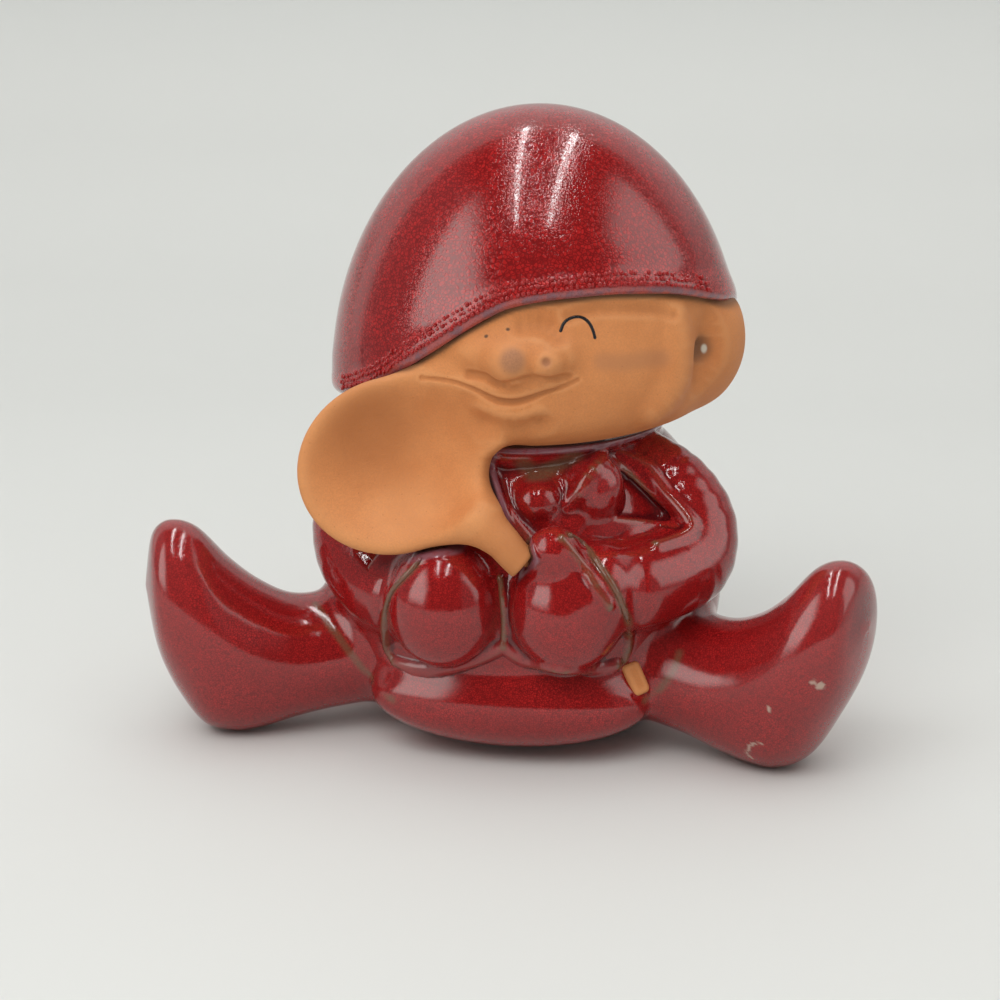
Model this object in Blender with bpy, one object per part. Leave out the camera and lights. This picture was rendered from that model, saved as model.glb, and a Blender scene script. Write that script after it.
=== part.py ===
# Ceramic gnome figurine, sitting with its legs apart and hugging a big spoon.
# Slip-cast earthenware: hollow torso and head, with the hood, collar, arms, mittens,
# boots and spoon luted on. Front faces -Y, +Z is up, the origin is the middle of the
# torso's flat underside on the table. Left and right are the gnome's own, so its left
# is at +X. Lengths are written in millimetres and scaled to metres by MM.

import bpy
import bmesh
import math
from mathutils import Euler, Vector

MM = 0.001

# Fits and walls
SEAT_GAP = 0.3          # slip line between two luted pieces
CAST_WALL = 5.0         # wall of the hollow torso and head
HOOD_WALL = 4.2         # hood over the skull
SPOON_WALL = 4.0

# Torso, an egg standing on a flat base
BASE_HALF_WIDTH = 24.0
BASE_HALF_DEPTH = 21.0
BELLY_HALF_WIDTH = 49.8
BELLY_HALF_DEPTH = 42.5
BELLY_HEIGHT = 36.0
TORSO_HEIGHT = 80.0
NECK_RADIUS = 14.0
NECK_BORE_RADIUS = 8.0
VENT_RADIUS = 4.0
VENT_SETBACK = 13.0     # vent hole behind the middle of the base

# Head and hood, an egg on the torso's crown, leaning to the gnome's left
HEAD_OFFSET = 4.2
HEAD_RISE = 18.0        # head's middle above the top of the torso
HEAD_LEAN = 6.2
HEAD_HALF_WIDTH = 48.9
HEAD_HALF_DEPTH = 46.0
HEAD_WIDEST = -11.0     # level of the hood's widest ring, from the head's middle
CROWN_RISE = 51.3
HEM_DROP = 30.0
HEM_HALF_SIZE = 26.0
FACE_HALF_WIDTH = 45.2
FACE_HALF_DEPTH = 43.5
FACE_WIDEST = -6.0
JAW_DROP = 24.5
JAW_HALF_SIZE = 30.0
NOSE_OFFSET = 2.0       # nose to the left of the head's middle
NOSE_HALF_WIDTH = 11.5
NOSE_HALF_DEPTH = 7.0
NOSE_REACH = 3.4        # nose tip in front of the face
EAR_HALF_HEIGHT = 13.6
EAR_REACH = 3.6         # ear outside the cheek
EAR_FORWARD = 2.0       # ear in front of the head's middle
EAR_LINE = 17.0         # back edge of the face opening, behind the ear
EAR_LINE_SLOPE = 0.9
BROW_RISE = 14.5        # top of the face opening, from the head's middle
OPENING_DROP = 24.5     # opening's low end, beside the spoon

# Hood's front edge from the gnome's right to its left, as shares of the head's half
# width and of BROW_RISE (above the middle) or OPENING_DROP (below it)
HOOD_EDGE_SHARES = [(-1.32, -1.47), (-1.0, -1.0), (-0.72, -0.69), (-0.43, -0.18), (-0.185, 0.31),
                    (0.04, 0.69), (0.29, 0.93), (0.56, 1.0), (0.78, 0.83), (0.97, 0.52), (1.32, 0.2)]

# Collar roll under the chin and its two front folds
COLLAR_DROP = 6.5       # middle of the roll below the top of the torso
COLLAR_ROLL = 5.4
COLLAR_INSET = 3.0      # middle of the roll inside the torso's skin
FOLD_RADIUS = 11.5
FOLD_MIDDLE = 8.5       # the two folds, to the left of the torso's middle
FOLD_SIDE = 24.0

# Spoon, its bowl under the right cheek
BOWL_OFFSET = -19.5
BOWL_DROP = 6.0         # bowl's middle below the top of the torso
BOWL_HALF_LENGTH = 24.6
BOWL_HALF_WIDTH = 20.8
BOWL_SLANT = 20.0       # its long axis rises into the cheek
BOWL_DEPTH = 11.5
BOWL_TILT = 9.0         # bowl's lower edge leans forward
HANDLE_SLOPE = 38.0     # handle runs down to the gnome's left
HANDLE_RADIUS = 5.6
GRIP_OFFSET = 9.5       # where the handle dips under the thumb
GRIP_STAND_OFF = 9.5
HANDLE_SINK = 2.5       # middle of the hidden handle outside the torso's skin
HANDLE_END = 21.0       # end of the handle above the table

# Arms and mittens
SHOULDER_RADIUS = 12.0
ELBOW_RADIUS = 12.5
WRIST_RADIUS = 12.4
CUFF_RADIUS = 12.9
HAND_DROP = 40.5        # mittens' middle below the top of the torso
HAND_HALF_WIDTH = 13.6
HAND_HALF_HEIGHT = 14.5
HAND_THICKNESS = 12.0
HANDS_OFFSET = 2.7      # seam between the mittens, left of the torso's middle
THUMB_RADIUS = 5.0

# Legs, each a stub with its boot turned up at the toe
RIGHT_LEG_FORWARD = 20.0    # how far a leg swings forward of straight out
LEFT_LEG_FORWARD = 23.5
RIGHT_LEG_REACH = 92.0      # from the middle of the torso to the sole
LEFT_LEG_REACH = 91.0
LEG_LENGTH = 54.8           # of that, the stub and its boot
RIGHT_BOOT_HEIGHT = 52.0
LEFT_BOOT_HEIGHT = 50.0
RIGHT_HEEL_TUCK = 0.0       # how far the heel's outer corner is drawn up
LEFT_HEEL_TUCK = 3.2
ANKLE_HEIGHT = 33.6
LEG_HALF_WIDTH = 15.5
FLOOR_LIFT = 0.2            # heel above the table

# Rings out along a leg: share of its length back from the sole, heel line as a share of
# the boot's height, rise from the ankle's height (0) to the boot's (1), share of the width,
# share of the heel's tuck
LEG_RING_SHARES = [(1.0, 0.115, 0.14, 1.07, 0.0), (0.8, 0.088, 0.0, 0.97, 0.0),
                   (0.65, 0.058, -0.02, 0.97, 0.0), (0.507, 0.019, 0.19, 1.0, 0.0),
                   (0.383, 0.0, 0.5, 1.03, 0.0), (0.244, 0.05, 0.96, 1.03, 0.7),
                   (0.131, 0.22, 1.08, 0.9, 1.0), (0.051, 0.41, 0.94, 0.71, 1.0),
                   (0.0, 0.577, 0.59, 0.39, 0.5)]

TORSO_SIDES = 20
HEAD_SIDES = 20
LIMB_SIDES = 10

GLAZE_RED = (0.26, 0.018, 0.016, 1.0)
BARE_CLAY = (0.50, 0.20, 0.085, 1.0)


def clear_scene():
    for item in list(bpy.data.objects):
        bpy.data.objects.remove(item, do_unlink=True)


def ceramic(name, colour, roughness, coat):
    material = bpy.data.materials.new(name)
    material.use_nodes = True
    shader = material.node_tree.nodes["Principled BSDF"]
    shader.inputs["Base Color"].default_value = colour
    shader.inputs["Roughness"].default_value = roughness
    shader.inputs["Metallic"].default_value = 0.0
    shader.inputs["Coat Weight"].default_value = coat
    material.diffuse_color = colour
    return material


def glaze(name):
    return ceramic(name + "_glaze", GLAZE_RED, 0.12, 0.6)


def terracotta(name):
    return ceramic(name + "_clay", BARE_CLAY, 0.75, 0.0)


# Shapes

def skin(name, stations, sides, levels=1, closed=False):
    """Loft through elliptical rings, capped, or closed on itself like a tyre.
    A station is (centre, along, across, half across, half the other way)."""
    builder = bmesh.new()
    rings = []
    # a subdivided ring draws in by this much
    fill_out = 3 / (2 + math.cos(2 * math.pi / sides)) if levels else 1.0
    for centre, along, across, half_across, half_other in stations:
        along = Vector(along).normalized()
        across = Vector(across)
        across = (across - across.dot(along) * along).normalized()
        other = along.cross(across)
        points = []
        for index in range(sides):
            turn = 2 * math.pi * index / sides
            swing = across * half_across * math.cos(turn) + other * half_other * math.sin(turn)
            points.append(builder.verts.new((Vector(centre) + swing * fill_out) * MM))
        edges = [builder.edges.new((points[i], points[(i + 1) % sides])) for i in range(sides)]
        rings.append((points, edges))
    for lower, upper in zip(rings, rings[1:]):
        bmesh.ops.bridge_loops(builder, edges=lower[1] + upper[1])
    if closed:
        bmesh.ops.bridge_loops(builder, edges=rings[-1][1] + rings[0][1])
    else:
        builder.faces.new(rings[0][0])
        builder.faces.new(rings[-1][0])
    bmesh.ops.recalc_face_normals(builder, faces=builder.faces)
    mesh = bpy.data.meshes.new(name)
    builder.to_mesh(mesh)
    builder.free()
    mesh.shade_smooth()
    item = bpy.data.objects.new(name, mesh)
    bpy.context.collection.objects.link(item)
    round_off(item, levels)
    return item


def round_off(item, levels):
    if levels:
        rounding = item.modifiers.new("rounding", "SUBSURF")
        rounding.levels = levels
        rounding.render_levels = levels


def hide(item):
    item.hide_render = True
    item.display_type = "WIRE"
    return item


def swollen(item, name, growth, levels=1):
    """Hidden copy of a form, its skin moved out by growth millimetres."""
    copy = bpy.data.objects.new(name, item.data)
    bpy.context.collection.objects.link(copy)
    copy.parent = item.parent
    copy.location = item.location
    copy.rotation_euler = item.rotation_euler
    round_off(copy, levels)
    offset = copy.modifiers.new("offset", "DISPLACE")
    offset.strength = growth * MM
    offset.mid_level = 0.0
    return hide(copy)


def combine(item, tool, operation):
    step = item.modifiers.new(operation.lower() + "_" + tool.name, "BOOLEAN")
    step.operation = operation
    step.solver = "EXACT"
    step.object = tool


def cut(item, *tools):
    for tool in tools:
        combine(item, tool, "DIFFERENCE")


def fuse(item, *tools):
    for tool in tools:
        combine(item, tool, "UNION")


def plug(name, radius, low, high, x=0.0, y=0.0, parent=None):
    """Hidden upright cylinder that bores a hole."""
    stations = [((x, y, z), (0, 0, 1), (1, 0, 0), radius, radius) for z in (low, high)]
    item = skin(name, stations, 16, 0)
    item.parent = parent
    return hide(item)


def ball(name, centre, half_x, half_y, half_z, parent=None, fullness=1.0, rings=4):
    """Ellipsoid lofted along Z; a fullness under 1 squares its shoulders."""
    stations = []
    for index in range(rings + 1):
        lean = math.radians(-70 + 140 * index / rings)
        level = Vector(centre) + Vector((0, 0, half_z * math.sin(lean) / math.sin(math.radians(70))))
        ring = math.cos(lean) ** fullness
        stations.append((level, (0, 0, 1), (1, 0, 0), half_x * ring, half_y * ring))
    item = skin(name, stations, LIMB_SIDES)
    item.parent = parent
    return item


def limb(name, points, radii, sides=LIMB_SIDES):
    """Tube through points with a radius at each, closed by small end rings."""
    points = [Vector(point) for point in points]
    stations = []
    last = len(points) - 1
    for index, (point, radius) in enumerate(zip(points, radii)):
        along = points[min(index + 1, last)] - points[max(index - 1, 0)]
        if index == 0:
            stations.append((point - along.normalized() * radius * 0.5, along, (0, 0, 1),
                             radius * 0.6, radius * 0.6))
        stations.append((point, along, (0, 0, 1), radius, radius))
        if index == last:
            stations.append((point + along.normalized() * radius * 0.5, along, (0, 0, 1),
                             radius * 0.6, radius * 0.6))
    return skin(name, stations, sides)


# Egg shapes of the torso and the head

def egg_stations(low, wide, high, fullness, rings_below, rings_above, edge_ring):
    """Rings up an egg: low, wide and high are (level, half width, half depth)."""
    stations = []
    if edge_ring:
        stations.append((low[0], low[1] * edge_ring, low[2] * edge_ring))
    for index in range(rings_below):
        turn = math.pi / 2 * index / rings_below
        share = math.sin(turn) ** fullness
        stations.append((wide[0] - (wide[0] - low[0]) * math.cos(turn),
                         low[1] + (wide[1] - low[1]) * share,
                         low[2] + (wide[2] - low[2]) * share))
    for index in range(rings_above + 1):
        turn = math.pi / 2 * index / rings_above
        stations.append((wide[0] + (high[0] - wide[0]) * math.sin(turn),
                         high[1] + (wide[1] - high[1]) * math.cos(turn),
                         high[2] + (wide[2] - high[2]) * math.cos(turn)))
    return [((0, 0, level), (0, 0, 1), (1, 0, 0), half_x, half_y)
            for level, half_x, half_y in stations]


def torso_half_size(level):
    """Torso's half width and half depth at a height above the table."""
    if level < BELLY_HEIGHT:
        share = math.sin(math.acos((BELLY_HEIGHT - level) / BELLY_HEIGHT))
        low = (BASE_HALF_WIDTH, BASE_HALF_DEPTH)
    else:
        rise = min((level - BELLY_HEIGHT) / (TORSO_HEIGHT - BELLY_HEIGHT), 1.0)
        share = math.cos(math.asin(rise))
        low = (NECK_RADIUS, NECK_RADIUS)
    return (low[0] + (BELLY_HALF_WIDTH - low[0]) * share,
            low[1] + (BELLY_HALF_DEPTH - low[1]) * share)


def collar_level():
    return TORSO_HEIGHT - COLLAR_DROP


def hand_level():
    return TORSO_HEIGHT - HAND_DROP


def on_torso(bearing, level, stand_off=0.0):
    """Point on the torso's skin; bearing turns from the front towards the gnome's left."""
    turn = math.radians(bearing)
    half_width, half_depth = torso_half_size(level)
    outward = Vector((math.sin(turn) / half_width, -math.cos(turn) / half_depth, 0)).normalized()
    point = Vector((half_width * math.sin(turn), -half_depth * math.cos(turn), level))
    return point + outward * stand_off


def hood_stations(shrink):
    low = (-HEM_DROP + shrink, HEM_HALF_SIZE, HEM_HALF_SIZE)
    wide = (HEAD_WIDEST, HEAD_HALF_WIDTH - shrink, HEAD_HALF_DEPTH - shrink)
    high = (CROWN_RISE - shrink, 2.0, 2.0)
    return egg_stations(low, wide, high, 0.6, 3, 7, 0.55)


def face_stations(shrink):
    jaw = JAW_HALF_SIZE - shrink / 2
    low = (-JAW_DROP + shrink, jaw, jaw)
    wide = (FACE_WIDEST, FACE_HALF_WIDTH - shrink, FACE_HALF_DEPTH - shrink)
    high = (CROWN_RISE - shrink, 2.0, 2.0)
    return egg_stations(low, wide, high, 1.15, 4, 5, 0.55)


def make_torso():
    stations = egg_stations((0.0, BASE_HALF_WIDTH, BASE_HALF_DEPTH),
                            (BELLY_HEIGHT, BELLY_HALF_WIDTH, BELLY_HALF_DEPTH),
                            (TORSO_HEIGHT, NECK_RADIUS, NECK_RADIUS), 1.0, 5, 6, 0.8)
    torso = skin("torso", stations, TORSO_SIDES)
    torso.data.materials.append(glaze("torso"))
    return torso


def hollow_torso(torso):
    hollow = swollen(torso, "torso_hollow", -CAST_WALL, levels=0)
    vent = plug("vent_bore", VENT_RADIUS, -CAST_WALL, 2 * CAST_WALL, y=VENT_SETBACK)
    neck = plug("neck_bore", NECK_BORE_RADIUS, TORSO_HEIGHT - 3 * CAST_WALL,
                TORSO_HEIGHT + CAST_WALL)
    cut(torso, hollow, vent, neck)


def head_frame():
    frame = bpy.data.objects.new("head_frame", None)
    bpy.context.collection.objects.link(frame)
    frame.location = Vector((HEAD_OFFSET, 0, TORSO_HEIGHT + HEAD_RISE)) * MM
    frame.rotation_euler = Euler((0, math.radians(HEAD_LEAN), 0))
    return frame


def on_head(item, frame):
    item.parent = frame
    return item


def hood_form(name, frame, shrink, levels=1):
    return hide(on_head(skin(name, hood_stations(shrink), HEAD_SIDES, levels), frame))


def face_opening(name, frame, inset):
    """Block that cuts the face opening: the hood's edge sweeps from low beside the
    spoon up over the brow, and slants down behind the left ear."""
    outline = []
    for across, up in HOOD_EDGE_SHARES:
        level = up * (BROW_RISE if up > 0 else OPENING_DROP)
        outline.append((across * HEAD_HALF_WIDTH, level - inset))
    for across in (HOOD_EDGE_SHARES[-1][0], HOOD_EDGE_SHARES[0][0]):
        outline.append((across * HEAD_HALF_WIDTH, -2 * HEM_DROP))
    builder = bmesh.new()
    front = [builder.verts.new(Vector((x, -1.5 * HEAD_HALF_DEPTH, z)) * MM) for x, z in outline]
    face = builder.faces.new(front)
    grown = bmesh.ops.extrude_face_region(builder, geom=[face])
    for point in grown["geom"]:
        if isinstance(point, bmesh.types.BMVert):
            point.co.y = (EAR_LINE - inset) * MM - point.co.z * EAR_LINE_SLOPE
    bmesh.ops.recalc_face_normals(builder, faces=builder.faces)
    mesh = bpy.data.meshes.new(name)
    builder.to_mesh(mesh)
    builder.free()
    item = bpy.data.objects.new(name, mesh)
    bpy.context.collection.objects.link(item)
    item.parent = frame
    return hide(item)


def make_head(frame, torso_seat):
    """Hollow head: a bare face where the hood is open, a smaller skull under the hood."""
    head = on_head(skin("head", face_stations(0.0), HEAD_SIDES), frame)
    head.data.materials.append(terracotta("head"))
    head_seat = swollen(head, "head_seat", SEAT_GAP)
    shell = hood_form("hood_seat", frame, -HOOD_WALL)
    cut(shell, hood_form("skull_form", frame, HOOD_WALL, 0),
        face_opening("hood_seat_opening", frame, SEAT_GAP))
    nose = hide(ball("nose", (NOSE_OFFSET, NOSE_HALF_DEPTH - NOSE_REACH - FACE_HALF_DEPTH, 0.0),
                     NOSE_HALF_WIDTH, NOSE_HALF_DEPTH, NOSE_HALF_WIDTH * 0.58, frame))
    ear_half_width = EAR_HALF_HEIGHT * 0.72
    ear = hide(ball("ear", (FACE_HALF_WIDTH + EAR_REACH - ear_half_width, -EAR_FORWARD, 1.7),
                    ear_half_width, EAR_HALF_HEIGHT * 1.07, EAR_HALF_HEIGHT, frame))
    combine(ear, face_opening("ear_field", frame, SEAT_GAP), "INTERSECT")
    hollow = hide(on_head(skin("head_hollow", face_stations(HOOD_WALL + CAST_WALL), HEAD_SIDES, 0),
                          frame))
    neck = plug("head_neck_bore", NECK_BORE_RADIUS, -2 * JAW_DROP, 3 * CAST_WALL - JAW_DROP,
                x=-HEAD_OFFSET, parent=frame)
    cut(head, shell)
    fuse(head, nose, ear)
    cut(head, hollow, torso_seat, neck)
    return head, head_seat


def make_hood(frame):
    """Glazed shell over the skull, open at the face, its hem level on the collar."""
    hood = on_head(skin("hood", hood_stations(0.0), HEAD_SIDES), frame)
    hood.data.materials.append(glaze("hood"))
    hem = collar_level() + COLLAR_ROLL + SEAT_GAP
    below = plug("hem_cutter", 2 * HEAD_HALF_WIDTH, hem - 2 * HEM_DROP, hem)
    cut(hood, hood_form("hood_hollow", frame, HOOD_WALL - SEAT_GAP, 0),
        face_opening("face_cutter", frame, 0.0), below)
    return hood


def handle_grip():
    """Place on the handle that the thumb closes over, at the top of the left mitten."""
    level = hand_level() + HAND_HALF_HEIGHT
    half_width, half_depth = torso_half_size(level)
    front = half_depth * math.sqrt(1 - (GRIP_OFFSET / half_width) ** 2)
    return Vector((GRIP_OFFSET, -front - GRIP_STAND_OFF, level))


def make_spoon(torso_seat, head, hood):
    """Deep oval bowl let into the cheek, and a handle that runs under the left mitten to
    below its cuff."""
    centre = Vector((BOWL_OFFSET, -HEAD_HALF_DEPTH, TORSO_HEIGHT - BOWL_DROP))
    lean = math.radians(BOWL_TILT)
    facing = Vector((0, -math.cos(lean), math.sin(lean)))
    slant = math.radians(BOWL_SLANT)
    along = Vector((math.cos(slant), 0, math.sin(slant)))
    stations = []
    for turn in (24, 48, 70, 90):
        ring = math.sin(math.radians(turn))
        stations.append((centre - facing * BOWL_DEPTH * math.cos(math.radians(turn)), facing,
                         along, BOWL_HALF_LENGTH * ring, BOWL_HALF_WIDTH * ring))
    mouth = (centre + facing * 2 * BOWL_DEPTH, facing, along, BOWL_HALF_LENGTH, BOWL_HALF_WIDTH)
    bowl_room = hide(skin("bowl_room", stations + [mouth], TORSO_SIDES))
    bowl_seat = swollen(bowl_room, "bowl_seat", SEAT_GAP)
    lip = 0.55 * SPOON_WALL
    for turn in (80, 56, 32):
        ring = math.sin(math.radians(turn))
        drop = (BOWL_DEPTH - SPOON_WALL) * math.cos(math.radians(turn))
        stations.append((centre - facing * drop, facing, along,
                         (BOWL_HALF_LENGTH - lip) * ring, (BOWL_HALF_WIDTH - lip) * ring))
    spoon = skin("spoon", stations, TORSO_SIDES)
    spoon.data.materials.append(terracotta("spoon"))
    slope = math.radians(HANDLE_SLOPE)
    down = Vector((math.cos(slope), 0, -math.sin(slope)))
    neck = centre + down * BOWL_HALF_WIDTH * 0.85 + facing * HANDLE_RADIUS * 0.2
    grip = handle_grip()
    route = [neck, neck.lerp(grip, 0.5), grip]
    for bearing, share in ((24, 0.33), (35, 0.63), (39.5, 1.0)):
        route.append(on_torso(bearing, grip.z + (HANDLE_END - grip.z) * share, HANDLE_SINK))
    handle = hide(limb("handle", route, [HANDLE_RADIUS * share for share in
                                         (1.5, 1.1, 0.78, 0.66, 0.62, 0.6)]))
    handle_seat = swollen(handle, "handle_seat", SEAT_GAP)
    fuse(spoon, handle)
    cut(spoon, torso_seat)
    cut(head, bowl_seat)
    cut(hood, bowl_seat)
    return [bowl_seat, handle_seat]


def make_collar(seats):
    """Rolled collar round the neck, with two soft folds on the chest."""
    stations = []
    half_width, half_depth = [size - COLLAR_INSET for size in torso_half_size(collar_level())]
    steps = 14
    for index in range(steps):
        turn = 2 * math.pi * index / steps
        centre = Vector((half_width * math.sin(turn), -half_depth * math.cos(turn), collar_level()))
        along = Vector((half_width * math.cos(turn), half_depth * math.sin(turn), 0))
        stations.append((centre, along, (0, 0, 1), COLLAR_ROLL, COLLAR_ROLL))
    collar = skin("collar", stations, 8, closed=True)
    collar.data.materials.append(glaze("collar"))
    level = collar_level() - COLLAR_ROLL * 0.65
    folds = []
    for name, x, forward in (("fold_middle", FOLD_MIDDLE, 5.5), ("fold_side", FOLD_SIDE, 1.0)):
        folds.append(hide(ball(name, (x, -half_depth - forward, level), FOLD_RADIUS * 0.85,
                               FOLD_RADIUS * 0.75, FOLD_RADIUS)))
    collar_seats = [swollen(item, item.name + "_seat", SEAT_GAP) for item in [collar] + folds]
    fuse(collar, *folds)
    cut(collar, *seats)
    return collar_seats


def make_hands(seats):
    """Two mittens side by side on the belly; the left one closes over the handle."""
    hand_seats = []
    for side, sign in (("right", -1), ("left", 1)):
        x = HANDS_OFFSET + sign * (HAND_HALF_WIDTH + SEAT_GAP / 2)
        half_width, half_depth = torso_half_size(hand_level())
        front = -half_depth * math.sqrt(1 - (x / half_width) ** 2)
        hand = ball("hand_" + side, (x, front, hand_level()), HAND_HALF_WIDTH, HAND_THICKNESS,
                    HAND_HALF_HEIGHT, fullness=0.7)
        hand.data.materials.append(glaze("hand_" + side))
        hand_seats.append(swollen(hand, "hand_" + side + "_seat", SEAT_GAP))
        if side == "left":
            thumb_middle = handle_grip() + Vector((THUMB_RADIUS, 0, -THUMB_RADIUS * 0.5))
            thumb = hide(ball("thumb", thumb_middle, THUMB_RADIUS, THUMB_RADIUS,
                              THUMB_RADIUS * 1.4))
            hand_seats.append(swollen(thumb, "thumb_seat", SEAT_GAP))
            fuse(hand, thumb)
        cut(hand, *seats)
    return hand_seats


def make_arms(seats):
    """Sleeves lying round the torso. A stop is its bearing, its height as a share of the
    torso's, its radius, and how much of that radius is sunk below the torso's skin."""
    stops = {
        "left": [(68, 0.775, SHOULDER_RADIUS, 0.5), (68, 0.70, ELBOW_RADIUS, 0.4),
                 (62, 0.62, ELBOW_RADIUS, 0.32), (51, 0.545, WRIST_RADIUS, 0.2),
                 (40, 0.51, CUFF_RADIUS, 0.04)],
        "right": [(-74, 0.75, SHOULDER_RADIUS, 0.66), (-72, 0.66, ELBOW_RADIUS, 0.64),
                  (-64, 0.545, ELBOW_RADIUS, 0.56), (-51, 0.49, WRIST_RADIUS, 0.32),
                  (-38, 0.485, CUFF_RADIUS, 0.08)],
    }
    arm_seats = []
    for side, route in stops.items():
        points = []
        for bearing, height, radius, sunk in route:
            points.append(on_torso(bearing, TORSO_HEIGHT * height, -radius * sunk))
        arm = limb("arm_" + side, points, [stop[2] for stop in route], 12)
        arm.data.materials.append(glaze("arm_" + side))
        arm_seats.append(swollen(arm, "arm_" + side + "_seat", SEAT_GAP))
        cut(arm, *seats)
    return arm_seats


def make_legs(seats):
    """A stub leg running out into a boot whose sole faces sideways and toe points up."""
    sides = (("right", 180 + RIGHT_LEG_FORWARD, RIGHT_LEG_REACH, RIGHT_BOOT_HEIGHT, RIGHT_HEEL_TUCK),
             ("left", -LEFT_LEG_FORWARD, LEFT_LEG_REACH, LEFT_BOOT_HEIGHT, LEFT_HEEL_TUCK))
    for side, bearing, reach, boot_height, tuck in sides:
        stations = []
        for back, heel, rise, width, tucked in LEG_RING_SHARES:
            low = boot_height * heel + tuck * tucked
            high = ANKLE_HEIGHT + (boot_height - ANKLE_HEIGHT) * rise
            centre = (reach - LEG_LENGTH * back, 0, FLOOR_LIFT + (low + high) / 2)
            stations.append((centre, (1, 0, 0), (0, 0, 1), (high - low) / 2, LEG_HALF_WIDTH * width))
        leg = skin("leg_" + side, stations, 12)
        leg.data.materials.append(glaze("leg_" + side))
        leg.rotation_euler = Euler((0, 0, math.radians(bearing)))
        cut(leg, *seats)


def main():
    clear_scene()
    torso = make_torso()
    torso_seat = swollen(torso, "torso_seat", SEAT_GAP)
    hollow_torso(torso)
    frame = head_frame()
    head, head_seat = make_head(frame, torso_seat)
    hood = make_hood(frame)
    seats = [torso_seat, head_seat]
    seats += make_spoon(torso_seat, head, hood)
    seats += make_collar(seats)
    seats += make_hands(seats)
    arm_seats = make_arms(seats)
    make_legs(seats + arm_seats)


main()
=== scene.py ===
import math
import time
import bmesh
import bpy
import numpy as np
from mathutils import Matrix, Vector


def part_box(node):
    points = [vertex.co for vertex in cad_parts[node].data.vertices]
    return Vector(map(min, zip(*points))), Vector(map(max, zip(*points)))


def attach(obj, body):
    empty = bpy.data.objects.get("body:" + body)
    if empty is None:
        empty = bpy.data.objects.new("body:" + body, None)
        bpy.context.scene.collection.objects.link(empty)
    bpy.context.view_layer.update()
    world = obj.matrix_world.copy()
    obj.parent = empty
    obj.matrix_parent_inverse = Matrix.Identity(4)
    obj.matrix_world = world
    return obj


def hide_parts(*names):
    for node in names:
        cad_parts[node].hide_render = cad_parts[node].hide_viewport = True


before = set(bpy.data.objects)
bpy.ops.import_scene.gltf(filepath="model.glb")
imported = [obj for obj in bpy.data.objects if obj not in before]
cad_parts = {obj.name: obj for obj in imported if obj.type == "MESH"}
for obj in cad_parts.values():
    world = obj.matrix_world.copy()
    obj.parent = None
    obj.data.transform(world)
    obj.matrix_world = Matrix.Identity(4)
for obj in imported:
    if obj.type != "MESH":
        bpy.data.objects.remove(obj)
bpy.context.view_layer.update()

import openvdb
from mathutils import Vector

startTime = time.time()


def report(stage):
    print(f"{stage}: {time.time() - startTime:.1f} s")


cameraView = {"azimuth": 9.0, "elevation": 15.0, "distance": 0.5, "aim": (-0.0055, -0.0012, 0.054),
              "lens": 73.8}
azimuth, elevation = math.radians(cameraView["azimuth"]), math.radians(cameraView["elevation"])
towardEye = Vector((math.sin(azimuth) * math.cos(elevation), -math.cos(azimuth) * math.cos(elevation),
                    math.sin(elevation)))
cameraLens = bpy.data.cameras.new("camera")
cameraLens.lens = cameraView["lens"]
cameraLens.clip_start = 0.01
camera = bpy.data.objects.new("camera", cameraLens)
camera.location = Vector(cameraView["aim"]) + towardEye * cameraView["distance"]
camera.rotation_euler = (-towardEye).to_track_quat("-Z", "Y").to_euler()
bpy.context.scene.collection.objects.link(camera)
bpy.context.scene.camera = camera
eye = np.array(camera.location) * 1000


# the ceramic is worked out as distance fields in millimetres, then skinned
skinning = {"voxel": 0.7, "quickVoxel": 1.1, "faceShare": 0.92, "spoonShare": 0.72, "blockSize": 8,
            "far": 3.0, "blockReach": 1.35, "spareReach": 2.0, "snapSteps": 2, "snapShare": 0.7,
            "leastSlope": 0.05, "fineReach": 1.6, "fineSnap": 0.4, "curveReach": 0.9}


def size(vectors):
    return np.sqrt(np.einsum("ij,ij->i", vectors, vectors))


def merge(first, second, soft):
    overlap = np.maximum(soft - np.abs(first - second), 0) / soft
    return np.minimum(first, second) - overlap * overlap * soft * 0.25


def keep(first, second, soft):
    return -merge(-first, -second, soft)


def carve(form, tool, soft):
    return -merge(-form, tool, soft)


def ramp(values, low, high):
    share = np.clip((values - low) / (high - low), 0, 1)
    return share * share * (3 - 2 * share)


def luted(member, neighbour, soft, sink=0.15, reach=4.0):
    # a member with its fillet of slip, which dies away just under the neighbour's skin
    return keep(merge(member, neighbour + sink, soft), member - soft - reach, 1.0)


def egg(points, centre, halfSizes, turn=0.0):
    # ellipsoid, turned by an angle about the Y axis
    offset = points - np.array(centre)
    if turn:
        c, s = math.cos(math.radians(turn)), math.sin(math.radians(turn))
        x, y, z = offset.T
        offset = np.stack([x * c + z * s, y, z * c - x * s], 1)
    offset = offset / np.array(halfSizes)
    reach = size(offset)
    return reach * (reach - 1) / np.maximum(size(offset / np.array(halfSizes)), 1e-6)


def bent(knots, count):
    # smooth curve through knots, each of them x, y, z and anything that varies with them
    knots = np.array(knots, float)
    held = np.vstack([2 * knots[0] - knots[1], knots, 2 * knots[-1] - knots[-2]])
    places = np.linspace(0, len(knots) - 1, count)
    index = np.minimum(places.astype(int), len(knots) - 2)
    t = (places - index)[:, None]
    a, b, c, d = (held[index + shift] for shift in range(4))
    square, cube = 2 * a - 5 * b + 4 * c - d, 3 * b - a - 3 * c + d
    return 0.5 * (2 * b + (c - a) * t + square * t ** 2 + cube * t ** 3)


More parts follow.
